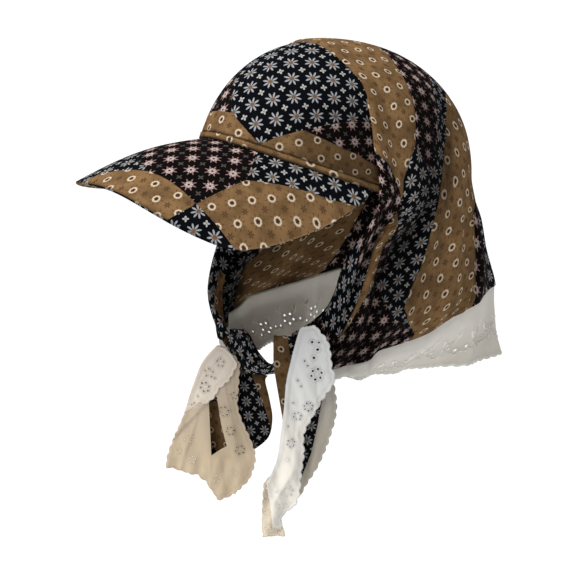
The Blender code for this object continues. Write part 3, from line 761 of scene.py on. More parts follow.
def build_crown(material):
    """Cap's front panel, slightly puffed over the band and beside the scarf."""
    u, v = np.meshgrid(np.linspace(-1, 1, 161), np.linspace(0, 1, 61), indexing="ij")
    flat, faces, normals = grid_surface(crown_point(u, v))
    pleats = bump_at(u, 0.80, 0.16) * np.sin(9.0 * pi * v + 5.0 * u) * bump_at(v, 0.22, 0.30)
    low = bump_at(v, 0.075, 0.035) * smooth((u + 0.1) / 0.5)
    flat = flat + normals * (CROWN_PUFF * pleats + CROWN_PUFF * low).reshape(-1, 1)
    chart = crown_chart(flat)
    fields = patch_fields(chart, placed(CROWN_PATCHES, 1000), len(CROWN_CUTS))
    add_prints(fields, chart[:, 0], chart[:, 1], CROWN_CUTS)
    temple = smooth((flat[:, 0] - 0.040) / 0.038) * smooth((0.046 - flat[:, 2]) / 0.026)
    fields["shade"] = TEMPLE_SHADE * temple
    crown = add_piece("crown_cloth", flat, faces, material, fields, CLOTH, ["crown"])
    area = mesh_area(flat, faces)


def build_band(material, thread):
    """Narrow band between crown and peak, held by two lines of stitching."""
    u, v = np.meshgrid(np.linspace(-1, 1, 301), np.linspace(-BAND_MARGIN, 1 + BAND_MARGIN, 17), indexing="ij")
    flat, faces, normals = grid_surface(band_point(u, v))
    across = np.clip(v, 0, 1)
    from_middle = np.abs(v - 0.5)
    full = BAND_PUFF * np.abs(np.sin(pi * across)) ** 0.5 - BAND_TUCK * (from_middle > 0.46)
    full = full - BAND_PUFF * (from_middle > 0.51)
    flat = flat + normals * full.reshape(-1, 1)
    fields = {"tan": np.full(len(flat), FAR), "rose": np.full(len(flat), -FAR)}
    fields["seam"] = np.minimum(across, 1 - across).ravel() * BAND_HEIGHT * 0.8
    fields["uv0"] = turned((u * BAND_HALF_LENGTH).ravel(), v.ravel() * BAND_HEIGHT, 12, 0.004, 0.001)
    band = add_piece("band_cloth", flat, faces, material, fields, CLOTH, ["crown_band"])
    rows = []
    for height in STITCH_LINES:
        for k in range(STITCHES):
            ends = np.array([-0.985 + 1.97 * (k + end) / STITCHES for end in (0.18, 0.80)])
            row = band_point(ends, np.array([height, height]))
            away = row - HEAD_MIDDLE
            rows.append(row + away / np.linalg.norm(away, axis=1, keepdims=True) * BAND_PUFF)
    stitches = add_strokes("band_stitches", rows, *STITCH_THREAD, thread, "patchwork_cotton")


def add_strokes(name, strokes, half_width, height, material, slot):
    """Raised threads laid along lines that keep near the head's surface."""
    points, faces = [], []
    for line in strokes:
        line = np.asarray(line, float)
        step = np.gradient(line, axis=0)
        step /= np.maximum(np.linalg.norm(step, axis=1, keepdims=True), 1e-12)
        out = line - HEAD_MIDDLE
        out /= np.linalg.norm(out, axis=1, keepdims=True)
        side = np.cross(step, out)
        side /= np.maximum(np.linalg.norm(side, axis=1, keepdims=True), 1e-12)
        out = np.cross(side, step)
        taper = np.ones(len(line))
        taper[[0, -1]] = 0.35
        taper = taper[:, None]
        first = len(points)
        for across, lift in ((-1.0, -0.5), (-0.7, 0.7), (0.0, 1.0), (0.7, 0.7), (1.0, -0.5), (0.0, -0.9)):
            points.extend(line + side * across * half_width * taper + out * lift * height)
        n = len(line)
        for ring in range(6):
            a, b = first + ring * n, first + (ring + 1) % 6 * n
            faces += [[a + k, b + k, b + k + 1, a + k + 1] for k in range(n - 1)]
        faces.append([first + ring * n for ring in range(6)])
        faces.append([first + ring * n + n - 1 for ring in reversed(range(6))])
    return add_piece(name, np.array(points), faces, material)


# Front edge of the scarf over the crown: share of the way from the top line to the hem, and its set-back
EDGE_W = [0.0, 0.12, 0.19, 0.25, 0.32, 0.42, 0.50, 1.0]
EDGE_BACK = [0.0, 0.0, 0.012, 0.040, 0.036, 0.013, 0.0, 0.0]

# Creases of the scarf: corners in hundredths (place, way down), half width and depth in metres
CREASES = [
    ([(8.2, 21), (7.8, 33), (6.4, 43), (4.8, 51)], 0.0035, 0.0012),
    ([(48.3, 20), (33.3, 41), (28.1, 49), (23.5, 56)], 0.0060, 0.0022),
    ([(40.1, 41), (33.3, 49.5), (30.1, 54.7)], 0.0045, 0.0014),
    ([(17, 57), (25.3, 68.3), (28.7, 77.6), (30.9, 88)], 0.0060, 0.0030),
    ([(13.4, 60.7), (22, 70), (24, 80), (22, 92)], 0.0050, 0.0026),
    ([(60.5, 55), (60.3, 74), (60.5, 96)], 0.0050, 0.0022),
    ([(0.8, 60), (7, 64), (8.6, 72), (6, 83), (3, 92)], 0.0045, 0.0020),
]

# Deep folds, where little light falls: corners in hundredths, half width in metres, share of light kept off
DEEP_FOLDS = [
    ([(47, 22), (36, 36), (28, 49), (23, 58), (24, 69), (28, 79), (29, 93)], 0.017, 0.55),
    ([(13, 60), (20, 68), (21, 78), (17, 88), (12, 97)], 0.010, 0.65),
    ([(3, 101), (12, 97), (24, 95), (38, 92)], 0.018, 0.55),
    ([(2, 57), (9, 63), (9.5, 72), (7, 82)], 0.006, 0.35),
    ([(37, 42), (31, 52), (30, 62)], 0.009, 0.30),
    ([(26, 26), (23, 38), (19, 50), (17, 62)], 0.013, 0.55),
    ([(60, 50), (60, 75), (60, 102)], 0.010, 0.30),
]


def hood_mesh(nt, nw):
    """Scarf points on a full grid from the right hem over the top to the left hem, and its faces."""
    t = np.linspace(0, 1, nt + 1) ** 1.25
    w = np.linspace(0, 1, nw + 1)
    tt, ww = np.meshgrid(t, w, indexing="ij")
    tt = tt + np.interp(ww, EDGE_W, EDGE_BACK) * (1 - tt) ** 2
    left, left_push = hood_point(tt, ww, 1)
    right, right_push = hood_point(tt, ww, -1)
    full = np.concatenate([right[:, :0:-1], left], axis=1)
    push = np.concatenate([right_push[:, :0:-1], left_push], axis=1)
    place = np.concatenate([tt[:, :0:-1], tt], axis=1)
    down = np.concatenate([-ww[:, :0:-1], ww], axis=1)
    ids = np.arange(full.shape[0] * full.shape[1]).reshape(full.shape[:2])
    ids[-1] = np.minimum(ids[-1], ids[-1][::-1])
    used, grid = np.unique(ids, return_inverse=True)
    grid = grid.reshape(ids.shape)
    faces = grid_faces(grid)
    flat = full.reshape(-1, 3)[used]
    normals, _ = normals_of(flat, faces)
    detail = scarf_detail(place, down).reshape(-1)[used]
    flat = flat + normals * (push.reshape(-1)[used] + detail)[:, None]
    return flat, faces, grid, used, place, down


def line_distance(points, line):
    """Distance from points to an open line, and the share of the line that lies behind the nearest place."""
    line = np.asarray(line, float)
    run = run_along(line)
    best = np.full(points.shape[:-1], 1e9)
    share = np.zeros(points.shape[:-1])
    for a, b, start, end in zip(line, line[1:], run, run[1:]):
        along = np.clip(((points - a) @ (b - a)) / (end - start) ** 2, 0, 1)
        away = np.linalg.norm(points - a - along[..., None] * (b - a), axis=-1)
        share = np.where(away < best, (start + along * (end - start)) / run[-1], share)
        best = np.minimum(best, away)
    return best, share


def along_folds(t, q, rows, fade):
    """For each row: distance from its line in half widths, its amount, and a mask that fades its ends."""
    chart = np.stack([t, np.abs(q)], -1) * SCARF_CHART
    for line, half_width, amount in rows:
        away, share = line_distance(chart, np.array(line) / 100 * SCARF_CHART)
        yield away / half_width, amount, smooth(share / fade) * smooth((1 - share) / fade)


def crease_depth(t, q):
    """Depth of the sharp folds that run down the scarf."""
    return sum(depth * ends / (1 + away ** 2) ** 1.5 for away, depth, ends in along_folds(t, q, CREASES, 0.2))


def deep_folds(t, q):
    """Share of the light that the deep folds beside the temple and along the hem keep off the cloth."""
    light = np.ones(t.shape)
    for away, amount, ends in along_folds(t, q, DEEP_FOLDS, 0.15):
        light *= 1 - amount * ends * np.exp(-away ** 2)
    return 1 - light


def scarf_detail(t, q):
    """Small folds, the turned front edge and the slight pull of the seams, on top of the main folds."""
    w = np.abs(q)
    edge = -0.0022 * bump_at(t, np.interp(w, EDGE_W, EDGE_BACK), 0.006)
    rays = 0.0008 * bump_at(w, 0.58, 0.16) * np.sin(2 * pi * (t / 0.055 + 0.25 * q)) * bump_at(t, 0.20, 0.14)
    ridge = 0.0014 * bump_at(t, 0.575, 0.012) * smooth((w - 0.35) / 0.3)
    waves = 0.0005 * np.sin(2 * pi * (3.1 * t + 1.7 * q)) + 0.0004 * np.sin(2 * pi * (7.3 * t - 2.9 * q))
    return edge + rays - crease_depth(t, q) + ridge + waves * smooth((w - 0.1) / 0.3)


def scarf_fields(flat, grid, used, place, down):
    """Patch distances and the cloth coordinates of each cut, measured along the folded cloth."""
    chart = (np.stack([place, down], -1) * SCARF_CHART).reshape(-1, 2)[used]
    fields = patch_fields(chart, placed(SCARF_PATCHES, 100 / SCARF_CHART), len(SCARF_CENTRES))
    full = flat[grid]
    across = np.linalg.norm(np.diff(full, axis=0), axis=2)
    across = np.concatenate([np.zeros((1, across.shape[1])), np.cumsum(across, axis=0)])
    middle = grid.shape[1] // 2
    along = np.linalg.norm(np.diff(full, axis=1), axis=2)
    along = np.concatenate([np.zeros((along.shape[0], 1)), np.cumsum(along, axis=1)], axis=1)
    along = along - along[:, middle:middle + 1]
    for k, (centre, (turn, du, dv, shrink)) in enumerate(zip(SCARF_CENTRES, SCARF_CUTS)):
        row = int(np.argmin(np.abs(place[:, 0] - centre)))
        if k < 3:
            u = across - across[row:row + 1]
            v = np.broadcast_to(along[row:row + 1], u.shape)
        else:
            u = (across[-1:] - across) * (1.0 if k == 3 else -1.0)
            v = np.broadcast_to(np.abs(along[row:row + 1]), u.shape)
        fields[f"uv{k}"] = turned(shrink * u.reshape(-1)[used], shrink * v.reshape(-1)[used], turn, du, dv)
    fields["shade"] = deep_folds(place, down).reshape(-1)[used]
    back = place.reshape(-1)[used] > BACK_HALVES
    fields["frame3"] = np.where(back, flat[:, 0] + 0.00001, -FAR)
    fields["frame4"] = np.where(back, -flat[:, 0], -FAR)
    return fields


def build_scarf(material):
    """Patchwork headscarf over the crown; its points, their grid and their places go on to the lace."""
    flat, faces, grid, used, place, down = hood_mesh(150, 130)
    fields = scarf_fields(flat, grid, used, place, down)
    scarf = add_piece("scarf_cloth", flat, faces, material, fields, CLOTH, ["scarf"])
    mesh_area(flat, faces)
    return flat, grid, place


# Hem lace by share of the way from the knot to the centre back: width, and inward lean in degrees
LACE_START = 0.05
LACE_TUCK = 0.0012
LACE_DROP = 0.0030
LACE_T = [0.0, 0.15, 0.30, 0.50, 0.70, 0.85, 1.0]
LACE_WIDTH = [0.024, 0.031, 0.039, 0.047, 0.057, 0.061, 0.061]
LACE_LEAN = [76.0, 76.0, 65.0, 39.0, 8.0, -6.0, -12.0]
LACE_FLARE = 18.0
LACE_FLUTES = 15
LACE_FLUTE_DEPTH = 0.0026
LACE_CLOTH = 0.0004
THREAD_RISE = 0.00035
FLOWER_PITCH = 0.031
SPRAY_THREAD = (0.00065, 0.00100)
CHIN_SHADE = 0.36
# Embroidered sprig beside each flower of eyelets, in metres: start, reach, bow
SPRIG = [
    (-0.0060, -0.0050, -0.0040, -0.0095, -0.0012), (-0.0085, -0.0100, 0.0030, -0.0030, 0.0003),
    (-0.0090, -0.0085, -0.0036, -0.0022, 0.0004), (0.0062, -0.0035, 0.0042, -0.0080, 0.0010),
    (0.0088, -0.0070, -0.0026, -0.0032, 0.0003), (0.0072, 0.0050, 0.0022, 0.0004, 0.0),
    (0.0112, 0.0062, 0.0022, -0.0002, 0.0), (0.0150, 0.0058, 0.0020, -0.0008, 0.0),
    (-0.0078, 0.0062, -0.0022, 0.0003, 0.0), (-0.0118, 0.0088, -0.0022, -0.0002, 0.0),
]
SCALLOP = 0.0078
SCALLOP_DEPTH = 0.0013

# Tails, in millimetres. Each row: left place, left height, right place, right height, left and right depth.
LEFT_TAIL_TURN = 54.0
RIGHT_TAIL_TURN = 30.0
TAIL_LEFT = [
    (-20, -154, 2, -151, 61.8, 80.5), (-20, -165, 12, -164, 61.8, 81),
    (-19.5, -179, 18, -178, 66.4, 81.5), (-15, -205, 21, -205, 76, 81),
    (-10, -235, 18, -234, 77, 79), (-5, -260, 11, -259, 77, 78),
    (-1, -273, 4, -272, 77, 77.5),
]
TAIL_LEFT_LACE = [
    (1, -142, 13, -140, 82.1, 82.1), (-3, -156, 23.5, -154, 82.1, 82.1),
    (-7.5, -175, 26.5, -174, 82.1, 82.1), (-10, -188, 28.8, -185, 82.5, 82.5),
    (-11.5, -207, 18, -203, 83, 83), (-14, -229, 5.5, -227, 83, 83),
    (-16.5, -248, 5, -246, 83, 83), (-21.5, -262, 3, -261, 82.5, 82.5),
    (-28.5, -275, 1.5, -278, 82, 82), (-29.5, -290, -2.5, -290, 81, 81),
    (-30, -303, -13, -302, 80.5, 80.5), (-29.3, -318, -9.5, -317.5, 80, 80),
]
TAIL_LEFT_BACK = [
    (13, -180, 27, -181, 78.5, 77.5), (14, -208, 30.5, -209, 77.5, 76.5),
    (10, -230, 26, -232, 75.5, 75), (5, -252, 19, -253, 74.5, 74),
    (-3, -274, 6.5, -276, 74.5, 74), (-6, -284, 1.5, -285, 74.5, 74),
]
TAIL_RIGHT = [
    (-34, -192.5, -9, -196, 41, 41.5), (-45, -200, -11, -201, 41, 42),
    (-62, -215, -7.5, -215, 40, 42), (-67, -232, -4.5, -232, 40, 42),
    (-68, -248, -8, -248, 40, 41.5), (-67, -262, -19, -260, 40, 41),
    (-65, -276, -40, -274, 40, 40),
]
TAIL_RIGHT_LACE = [
    (-52, -174, -44, -174.5, 45.5, 48), (-64, -188, -30.3, -184, 46, 50.2),
    (-70, -201, -30.5, -198, 46.5, 49.2), (-75, -214, -32, -212, 47, 48),
    (-81, -231, -33.3, -226, 47.5, 46.5), (-87, -247, -28, -240, 47.5, 46.5),
    (-96, -263.5, -21, -254, 47.5, 46), (-100.5, -278, -17.5, -268, 47.5, 46),
    (-101, -289, -24, -288, 47.5, 46),
]
TAIL_RIGHT_SAG = 0.021
# Opening in the right tail's lace, and its flap's upper and lower edges, in millimetres
SLIT = [(-59.8, -219), (-52, -218), (-49.0, -240.7), (-44.0, -260.5), (-50, -264.5), (-57.6, -270.2)]
FLAP_TOP = [(-52, -174.2), (-47.5, -174.4), (-44, -174.7), (-37, -179)]
FLAP_EDGE = [(-30.5, -186), (-34, -193), (-39, -202), (-48.5, -210.5), (-54, -219.5), (-59, -224),
             (-69, -230), (-77, -240), (-84, -249)]
# Foot of the right tail's lace
LOWER_FOOT = [(-104, -287.5), (-98.7, -288), (-87.7, -290), (-73.1, -290), (-65.7, -295), (-58.3, -302),
              (-54, -308)]
# Right edge of the left tail's print, and the folded-back strip at the foot of its lace
TAIL_LEFT_TRIM = [(22, -150), (19.5, -185), (18.0, -203), (15.2, -221.6), (10.4, -245), (3.5, -264),
                  (0, -274), (60, -274), (60, -150)]
STRIP_CUT = [(-40, -262), (-26.5, -262), (-24.5, -276), (-22.5, -292), (-20.5, -309), (-15.0, -311),
             (-9.5, -303), (10, -330), (-40, -330)]
STRIP_OUTLINE = [(-21.5, -263), (-27.8, -270), (-28.7, -280), (-29.4, -295), (-29.6, -308), (-29.0, -317.6),
                 (-19, -317.4), (-10.0, -317.0), (-12.4, -309), (-14, -302), (-17.5, -285)]
STRIP_EYELETS = [(-25.5, -296, 2.2, 5, 0.42), (-24.5, -308, 2.4, 6, 0.42), (-16.5, -312, 2.0, 5, 0.40),
                 (-26.0, -285, 2.0, 5, 0.40), (-25.5, -275, 0, 1, 0.45)]
# Edges of overlapping folds, in millimetres: two ends, rise across the line, breadth of the fold
FRONT_STEPS = [(9, -150, 16, -215, 1.0, 9), (-6, -160, -9, -225, 0.9, 7), (2, -195, -6, -262, -1.2, 8),
               (-2, -258, -19, -288, 1.3, 9), (22, -160, 12, -208, -0.8, 6), (-24, -262, -4, -300, 1.0, 8)]
BACK_STEPS = [(24, -184, 20, -238, 1.2, 4), (18, -205, 10, -250, 1.0, 4)]
LOWER_STEPS = [(-60, -224, -95, -262, 1.8, 12), (-57, -274, -58, -306, 1.3, 7),
               (-40, -268, -33, -300, -1.5, 8), (-45, -200, -33, -262, 1.1, 7),
               (-70, -238, -88, -292, 1.2, 11), (-50, -272, -46, -302, 0.9, 6),
               (-35, -225, -26, -270, -0.9, 6)]
FLAP_STEPS = [(-45, -178, -66, -206, 1.1, 8), (-40, -182, -50, -204, -0.8, 6),
              (-62, -190, -80, -228, 1.0, 7)]

# Soft waves of the tails, in metres: where they start and are full, slant, pitch, place, depth
LEFT_FOLDS = [(-0.150, -0.250, 0.10, 0.015, 0.1, 0.0007)]
FRONT_FOLDS = [(-0.145, -0.240, 0.15, 0.021, 0.35, 0.0012), (-0.225, -0.290, -0.35, 0.016, 0.0, 0.0012),
               (-0.140, -0.200, 0.40, 0.0085, 0.2, 0.0004)]
BACK_FOLDS = [(-0.180, -0.230, 0.0, 0.013, 0.3, 0.0010)]
RIGHT_FOLDS = [(-0.195, -0.250, 0.25, 0.022, 0.2, 0.0008)]
LOWER_FOLDS = [(-0.200, -0.285, 0.20, 0.023, 0.15, 0.0016), (-0.250, -0.295, -0.3, 0.011, 0.4, 0.0005)]
# Distance between two layers of lace
LAYER_STEP = 0.0011

# The tails' cloth is gathered, so that its print looks finer by this factor
PRINT_SHRINK = 1.30
# Patches of the printed tails in millimetres of the plane that each faces
TAIL_LEFT_PATCHES = [("tan", 0, [(-40, -130), (-9, -140), (-8.5, -153), (-7, -166), (-3, -182), (-3, -235),
                                 (-30, -275)])]
TAIL_RIGHT_PATCHES = [
    ("tan", 0, [(-29, -180), (-8, -180), (0, -215), (0, -240), (-5.5, -241), (-9.5, -228), (-15, -214),
                (-22, -199)]),
    ("tan", 0, [(-66, -228), (-56, -224), (-44, -228), (-40, -270), (-56, -272), (-62, -262)]),
]

# Eyelets in millimetres of the same planes: middle across, middle height, ring radius, count, hole radius.
# A count of 1 is a single eyelet.
LEFT_EYELETS = [
    (10.3, -153.5, 0, 1, 1), (15.6, -153.9, 0, 1, 0.8), (14.6, -159.6, 0, 1, 1.1), (11.7, -166.3, 0, 1, 1.1),
    (4.7, -168.7, 0, 1, 0.7), (7, -172.4, 0, 1, 0.7), (13.9, -179.6, 4.2, 6, 0.95), (-0.9, -184.4, 0, 1, 0.6),
    (1.8, -189, 0, 1, 0.6), (7.6, -205.5, 3.2, 7, 0.65), (-4.5, -203, 0, 1, 0.6), (-1, -214, 3, 6, 0.6),
    (-8.4, -222, 0, 1, 0.6), (-6, -236, 3, 6, 0.6), (-9, -250, 0, 1, 0.6), (-8.6, -277.5, 4, 6, 0.5),
    (-17.5, -277, 0, 1, 0.45), (-13.5, -290, 2.6, 5, 0.42),
]
FLAP_EYELETS = [
    (-47.6, -187.5, 3.3, 5, 0.75), (-58.5, -197.5, 3.8, 5, 0.70), (-62.5, -210.5, 4.0, 6, 0.90),
    (-53.0, -201.5, 0, 1, 0.6), (-69.5, -219.5, 0, 1, 0.6), (-73.0, -228.5, 2.6, 5, 0.6),
]
LOWER_EYELETS = [
    (-45.5, -229.5, 3.9, 6, 0.75), (-40.0, -246.0, 3.3, 6, 0.60), (-32.0, -262.0, 3.3, 6, 0.60),
    (-79.0, -258.0, 3.6, 4, 0.42), (-88.0, -271.0, 2.8, 5, 0.40), (-76.0, -277.0, 2.8, 5, 0.40),
    (-37.0, -283.0, 3.0, 5, 0.42), (-53.0, -290.0, 2.8, 5, 0.40), (-36.5, -215.0, 2.8, 5, 0.55),
]


def eyelets(rows):
    """Single holes from the rows of clusters: x, y and radius in metres."""
    holes = []
    for x, y, ring, count, radius in rows:
        if count == 1:
            holes.append((x / 1000, y / 1000, radius / 1000))
            continue
        for k in range(count):
            a = 2 * pi * (k + 0.25) / count
            holes.append(((x + ring * cos(a)) / 1000, (y + ring * sin(a)) / 1000, radius / 1000))
    return holes


def scalloped(line, outward, share=1.0):
    """The line with small round lobes along it; outward is +1 or -1 for the side that they bulge to."""
    line = np.asarray(line, float)
    run = run_along(line)
    count = max(1, round(run[-1] / SCALLOP))
    fine = np.linspace(0, run[-1], count * 8 + 1)
    x = np.interp(fine, run, line[:, 0])
    y = np.interp(fine, run, line[:, 1])
    step = np.stack([np.gradient(x), np.gradient(y)], 1)
    step /= np.linalg.norm(step, axis=1, keepdims=True)
    bulge = (np.abs(np.sin(pi * fine / run[-1] * count)) - 1.0) * SCALLOP_DEPTH * share
    side = np.stack([-step[:, 1], step[:, 0]], 1) * outward
    return np.stack([x, y], 1) + side * bulge[:, None]


def cut_sheet(outline, holes, step, openings=()):
    """Flat triangles inside the outline, with round eyelets and other openings cut out."""
    def ring(hole, scale, turn):
        x, y, r = hole
        return np.stack([x + scale * r * np.cos(turns + turn), y + scale * r * np.sin(turns + turn)], 1)

    def inside(places, margin, reach):
        """Which places are on the cloth, by a margin from its edges and a reach in radii from the eyelets."""
        keep = inside_distance(places, outline) > margin
        for loop in openings:
            keep &= inside_distance(places, loop) < -margin
        for x, y, r in holes:
            keep &= np.hypot(places[:, 0] - x, places[:, 1] - y) > reach * r
        return keep

    points, edges = [], []
    turns = np.linspace(0, 2 * pi, 11)[:-1]
    for loop in [outline, *openings, *(ring(hole, 1.0, 0.0) for hole in holes)]:
        first = len(points)
        points.extend(loop)
        edges.extend((first + k, first + (k + 1) % len(loop)) for k in range(len(loop)))
    for hole in holes:
        for scale in (1.45, 1.9, 2.5, 3.2):
            points.extend(ring(hole, scale, 0.3))
    low, high = np.min(outline, axis=0), np.max(outline, axis=0)
    rows = np.arange(low[1], high[1], step * 0.87)
    gx, gy = np.meshgrid(np.arange(low[0], high[0], step), rows, indexing="ij")
    gx[:, ::2] += step / 2
    grid = np.stack([gx.ravel(), gy.ravel()], 1)
    points.extend(grid[inside(grid, step * 0.45, 3.6)])
    result = delaunay_2d_cdt([Vector((p[0], p[1])) for p in points], edges, [], 0, 1e-8)
    flat = np.array([v[:] for v in result[0]])
    faces = np.array([f[:] for f in result[2]])
    used, faces = np.unique(faces[inside(flat[faces].mean(axis=1), 0, 0.93)], return_inverse=True)
    return flat[used], faces.reshape(-1, 3).tolist()


def raised_thread(flat, outline, holes):
    """Shares of embroidery thread and of the painted shadow beside it, round the eyelets and along the edge.
    """
    edge = inside_distance(flat, outline)
    thread = smooth(1.0 - edge / 0.0016)
    shadow = 0.6 * bump_at(edge, 0.0030, 0.0010)
    for x, y, r in holes:
        far = np.hypot(flat[:, 0] - x, flat[:, 1] - y) / r
        thread = np.maximum(thread, smooth((2.1 - far) / 0.5))
        shadow = np.maximum(shadow, bump_at(far, 2.5, 0.55))
        shadow = np.where(far < 1.2, 1.0, shadow)
    return thread, shadow


def lace_piece(name, cut, outline, holes, place, material, nodes, shade=0.0):
    """Lace from its flat cut: place carries flat points into space, and thread stands slightly proud."""
    flat, faces = cut
    points = place(flat)
    normals, _ = normals_of(points, faces)
    thread, shadow = raised_thread(flat, outline, holes)
    points = points + normals * (THREAD_RISE * thread)[:, None]
    fields = {"uv0": np.stack([flat[:, 0], flat[:, 1], 0 * flat[:, 0]], -1), "thread": thread,
              "shadow": shadow, "shade": shade + 0 * thread}
    return add_piece(name, points, faces, material, fields, LACE_CLOTH, nodes), mesh_area(points, faces)


def lace_rows(hem, share, nv):
    """Rows of points down the hem lace, from the seam to its free edge."""
    inward = np.array([0.0, 0.045, 0.0]) - hem
    inward[:, 2] = 0
    inward /= np.linalg.norm(inward, axis=1, keepdims=True)
    width = curve(share, LACE_T, LACE_WIDTH)
    lean = np.radians(curve(share, LACE_T, LACE_LEAN))
    flare = radians(LACE_FLARE) * bump_at(share, 0.77, 0.11)
    run = run_along(hem)
    wave = np.sin(2 * pi * LACE_FLUTES * run / run[-1])
    point = hem.copy()
    point[:, 2] += LACE_TUCK
    point += inward * LACE_TUCK
    rows = [point.copy()]
    point[:, 2] -= LACE_DROP + LACE_TUCK
    rows.append(point.copy())
    for k in range(1, nv + 1):
        u = (k - 0.5) / nv
        a = (lean * smooth(u / 0.3) - flare * smooth((u - 0.55) / 0.25))[:, None]
        point = point + (width / nv)[:, None] * (np.sin(a) * inward + np.cos(a) * np.array([0, 0, -1.0]))
        flute = (LACE_FLUTE_DEPTH * smooth(k / nv) * wave)[:, None]
        rows.append(point - flute * inward)
    return np.stack(rows, 1), run, width


def hem_line(points, grid, place):
    """Hem from the wearer's right end of the lace round the back to the left, in even steps."""
    share = place[:, 0]
    first = int(np.argmin(np.abs(share - LACE_START)))
    last = len(share) - 1
    order = [(grid[k, 0], share[k]) for k in range(first, last)]
    order += [(grid[k, -1], share[k]) for k in range(last, first - 1, -1)]
    hem = points[[k for k, _ in order]]
    run = run_along(hem)
    fine = np.linspace(0, run[-1], 640)
    even = np.stack([np.interp(fine, run, hem[:, k]) for k in range(3)], 1)
    return even, np.interp(fine, run, [part for _, part in order])


def lace_flowers(run, width):
    """Eyelets and embroidered sprigs of the frill, flat, in metres along the hem and down from the seam."""
    holes, sprigs = [], []
    s = np.linspace(0, 1, 7)
    count = int(run[-1] / FLOWER_PITCH)
    for k in range(count):
        x = (k + 0.5) * run[-1] / count
        wide = float(np.interp(x, run, width))
        y = 0.60 * wide + 0.002 * sin(2.4 * k)
        size = min(1.0, wide / 0.046)
        holes += eyelets([(x * 1000, y * 1000, 5.0 * size, 5, 1.05 * size),
                          ((x + 0.0125) * 1000, (y + 0.002) * 1000, 0, 1, 1.0 * size),
                          ((x - 0.0120) * 1000, (y + 0.0045) * 1000, 0, 1, 1.0 * size)])
        for start_x, start_y, reach_x, reach_y, bow in SPRIG:
            line = np.stack([start_x + reach_x * s + bow * np.sin(pi * s), start_y + reach_y * s], 1) * size
            line += (x, y)
            line[:, 1] = np.minimum(line[:, 1], np.interp(line[:, 0], run, width) - 0.002)
            line[:, 0] = np.clip(line[:, 0], 0.001, run[-1] - 0.001)
            sprigs.append(line)
    return holes, sprigs


def build_hem_lace(material, thread, points, grid, place):
    """Gathered eyelet frill along the scarf's hem."""
    hem, share = hem_line(points, grid, place)
    nv = 28
    rows, run, width = lace_rows(hem, share, nv)

    def at(flat):
        """Point of the frill: x along the hem, y down from the seam, both in metres."""
        x = np.clip(flat[:, 0] / run[-1] * (len(run) - 1), 0, len(run) - 1.001)
        wide = np.interp(flat[:, 0], run, width)
        y = 1 + np.where(flat[:, 1] < 0, flat[:, 1] / LACE_DROP, flat[:, 1] / wide * nv)
        y = np.clip(y, 0, nv + 0.999)
        i, j = x.astype(int), y.astype(int)
        a, b = (x - i)[:, None], (y - j)[:, None]
        return ((rows[i, j] * (1 - a) + rows[i + 1, j] * a) * (1 - b)
                + (rows[i, j + 1] * (1 - a) + rows[i + 1, j + 1] * a) * b)

    low = np.stack([run[::4], width[::4]], 1)
    low = scalloped(np.concatenate([low, [[run[-1], width[-1]]]]), 1.0)
    top = np.arange(0.0, run[-1] + 0.003, 0.004).clip(max=run[-1])
    outline = np.concatenate([np.stack([top, 0 * top - LACE_DROP], 1), low[::-1]])
    holes, sprigs = lace_flowers(run, width)
    cut = cut_sheet(outline, holes, 0.0024)
    shade = CHIN_SHADE * (1 - smooth((np.interp(cut[0][:, 0], run, share) - 0.25) / 0.30))
    lace, area = lace_piece("hem_lace_cloth", cut, outline, holes, at, material, ["hem_lace"],
                            shade)
    strokes = [at(line) for line in sprigs]
    sprays = add_strokes("hem_lace_sprays", strokes, *SPRAY_THREAD, thread, "white_lace")


def tail_rows_point(u, v, rows, sag=0.0):
    """Curtain through the table rows: place across, height and depth."""
    rows = np.array(rows) / 1000
    place = np.linspace(0.0, 1.0, len(rows))
    left, left_z, right, right_z, left_d, right_d = [curve(v, place, rows[:, k]) for k in range(6)]
    along = left * (1 - u) + right * u
    z = left_z * (1 - u) + right_z * u - sag * v ** 4 * np.sin(pi * u ** 1.4)
    depth = left_d * (1 - u) + right_d * u + 0.0012 * np.sin(pi * u) * np.sin(pi * np.minimum(v * 4, 1) / 2)
    return along, z, depth


def in_space(along, depth, z, turn):
    a = radians(turn)
    return np.stack([along * cos(a) + depth * sin(a), along * sin(a) - depth * cos(a), z], -1)


def fold_step(flat, row):
    """Depth of one fold: a sharp edge along the row's line that falls off gently over its breadth."""
    x0, y0, x1, y1, rise, breadth = [v / 1000 for v in row]
    line = np.array([x1 - x0, y1 - y0])
    length = np.linalg.norm(line)
    d = flat - np.array([x0, y0])
    along = d @ line / length ** 2
    aside = (d[:, 0] * line[1] - d[:, 1] * line[0]) / length
    ends = smooth((along + 0.15) / 0.3) * smooth((1.15 - along) / 0.3)
    return rise * smooth((aside + 0.0008) / 0.0016) * np.exp(-np.maximum(aside, 0) / breadth) * ends


def tail_place(rows, turn, sag=0.0, lift=0.0, folds=(), steps=()):
    """Function that carries (place across, height) on to the curtain; folds are waves down its length."""
    u, v = np.meshgrid(np.linspace(0, 1, 41), np.linspace(0, 1, 161), indexing="ij")
    along, z, depth = [a.ravel() for a in tail_rows_point(u, v, rows, sag)]
    tree = KDTree(len(along))
    for k in range(len(along)):
        tree.insert((along[k], z[k], 0.0), k)
    tree.balance()

    def place(flat):
        out = np.empty(len(flat))
        for n, (x, y) in enumerate(flat):
            near = tree.find_n((x, y, 0.0), 5)
            weight = np.array([1.0 / (d + 1e-5) for _, _, d in near])
            out[n] = (depth[[k for _, k, _ in near]] * weight).sum() / weight.sum()
        for top, low, slant, pitch, phase, size in folds:
            grow = smooth((top - flat[:, 1]) / max(top - low, 1e-6))
            out = out + size * grow * np.sin(2 * pi * ((flat[:, 0] + slant * flat[:, 1]) / pitch + phase))
        for row in steps:
            out = out + fold_step(flat, row)
        return in_space(flat[:, 0], out + lift, flat[:, 1], turn)

    return place


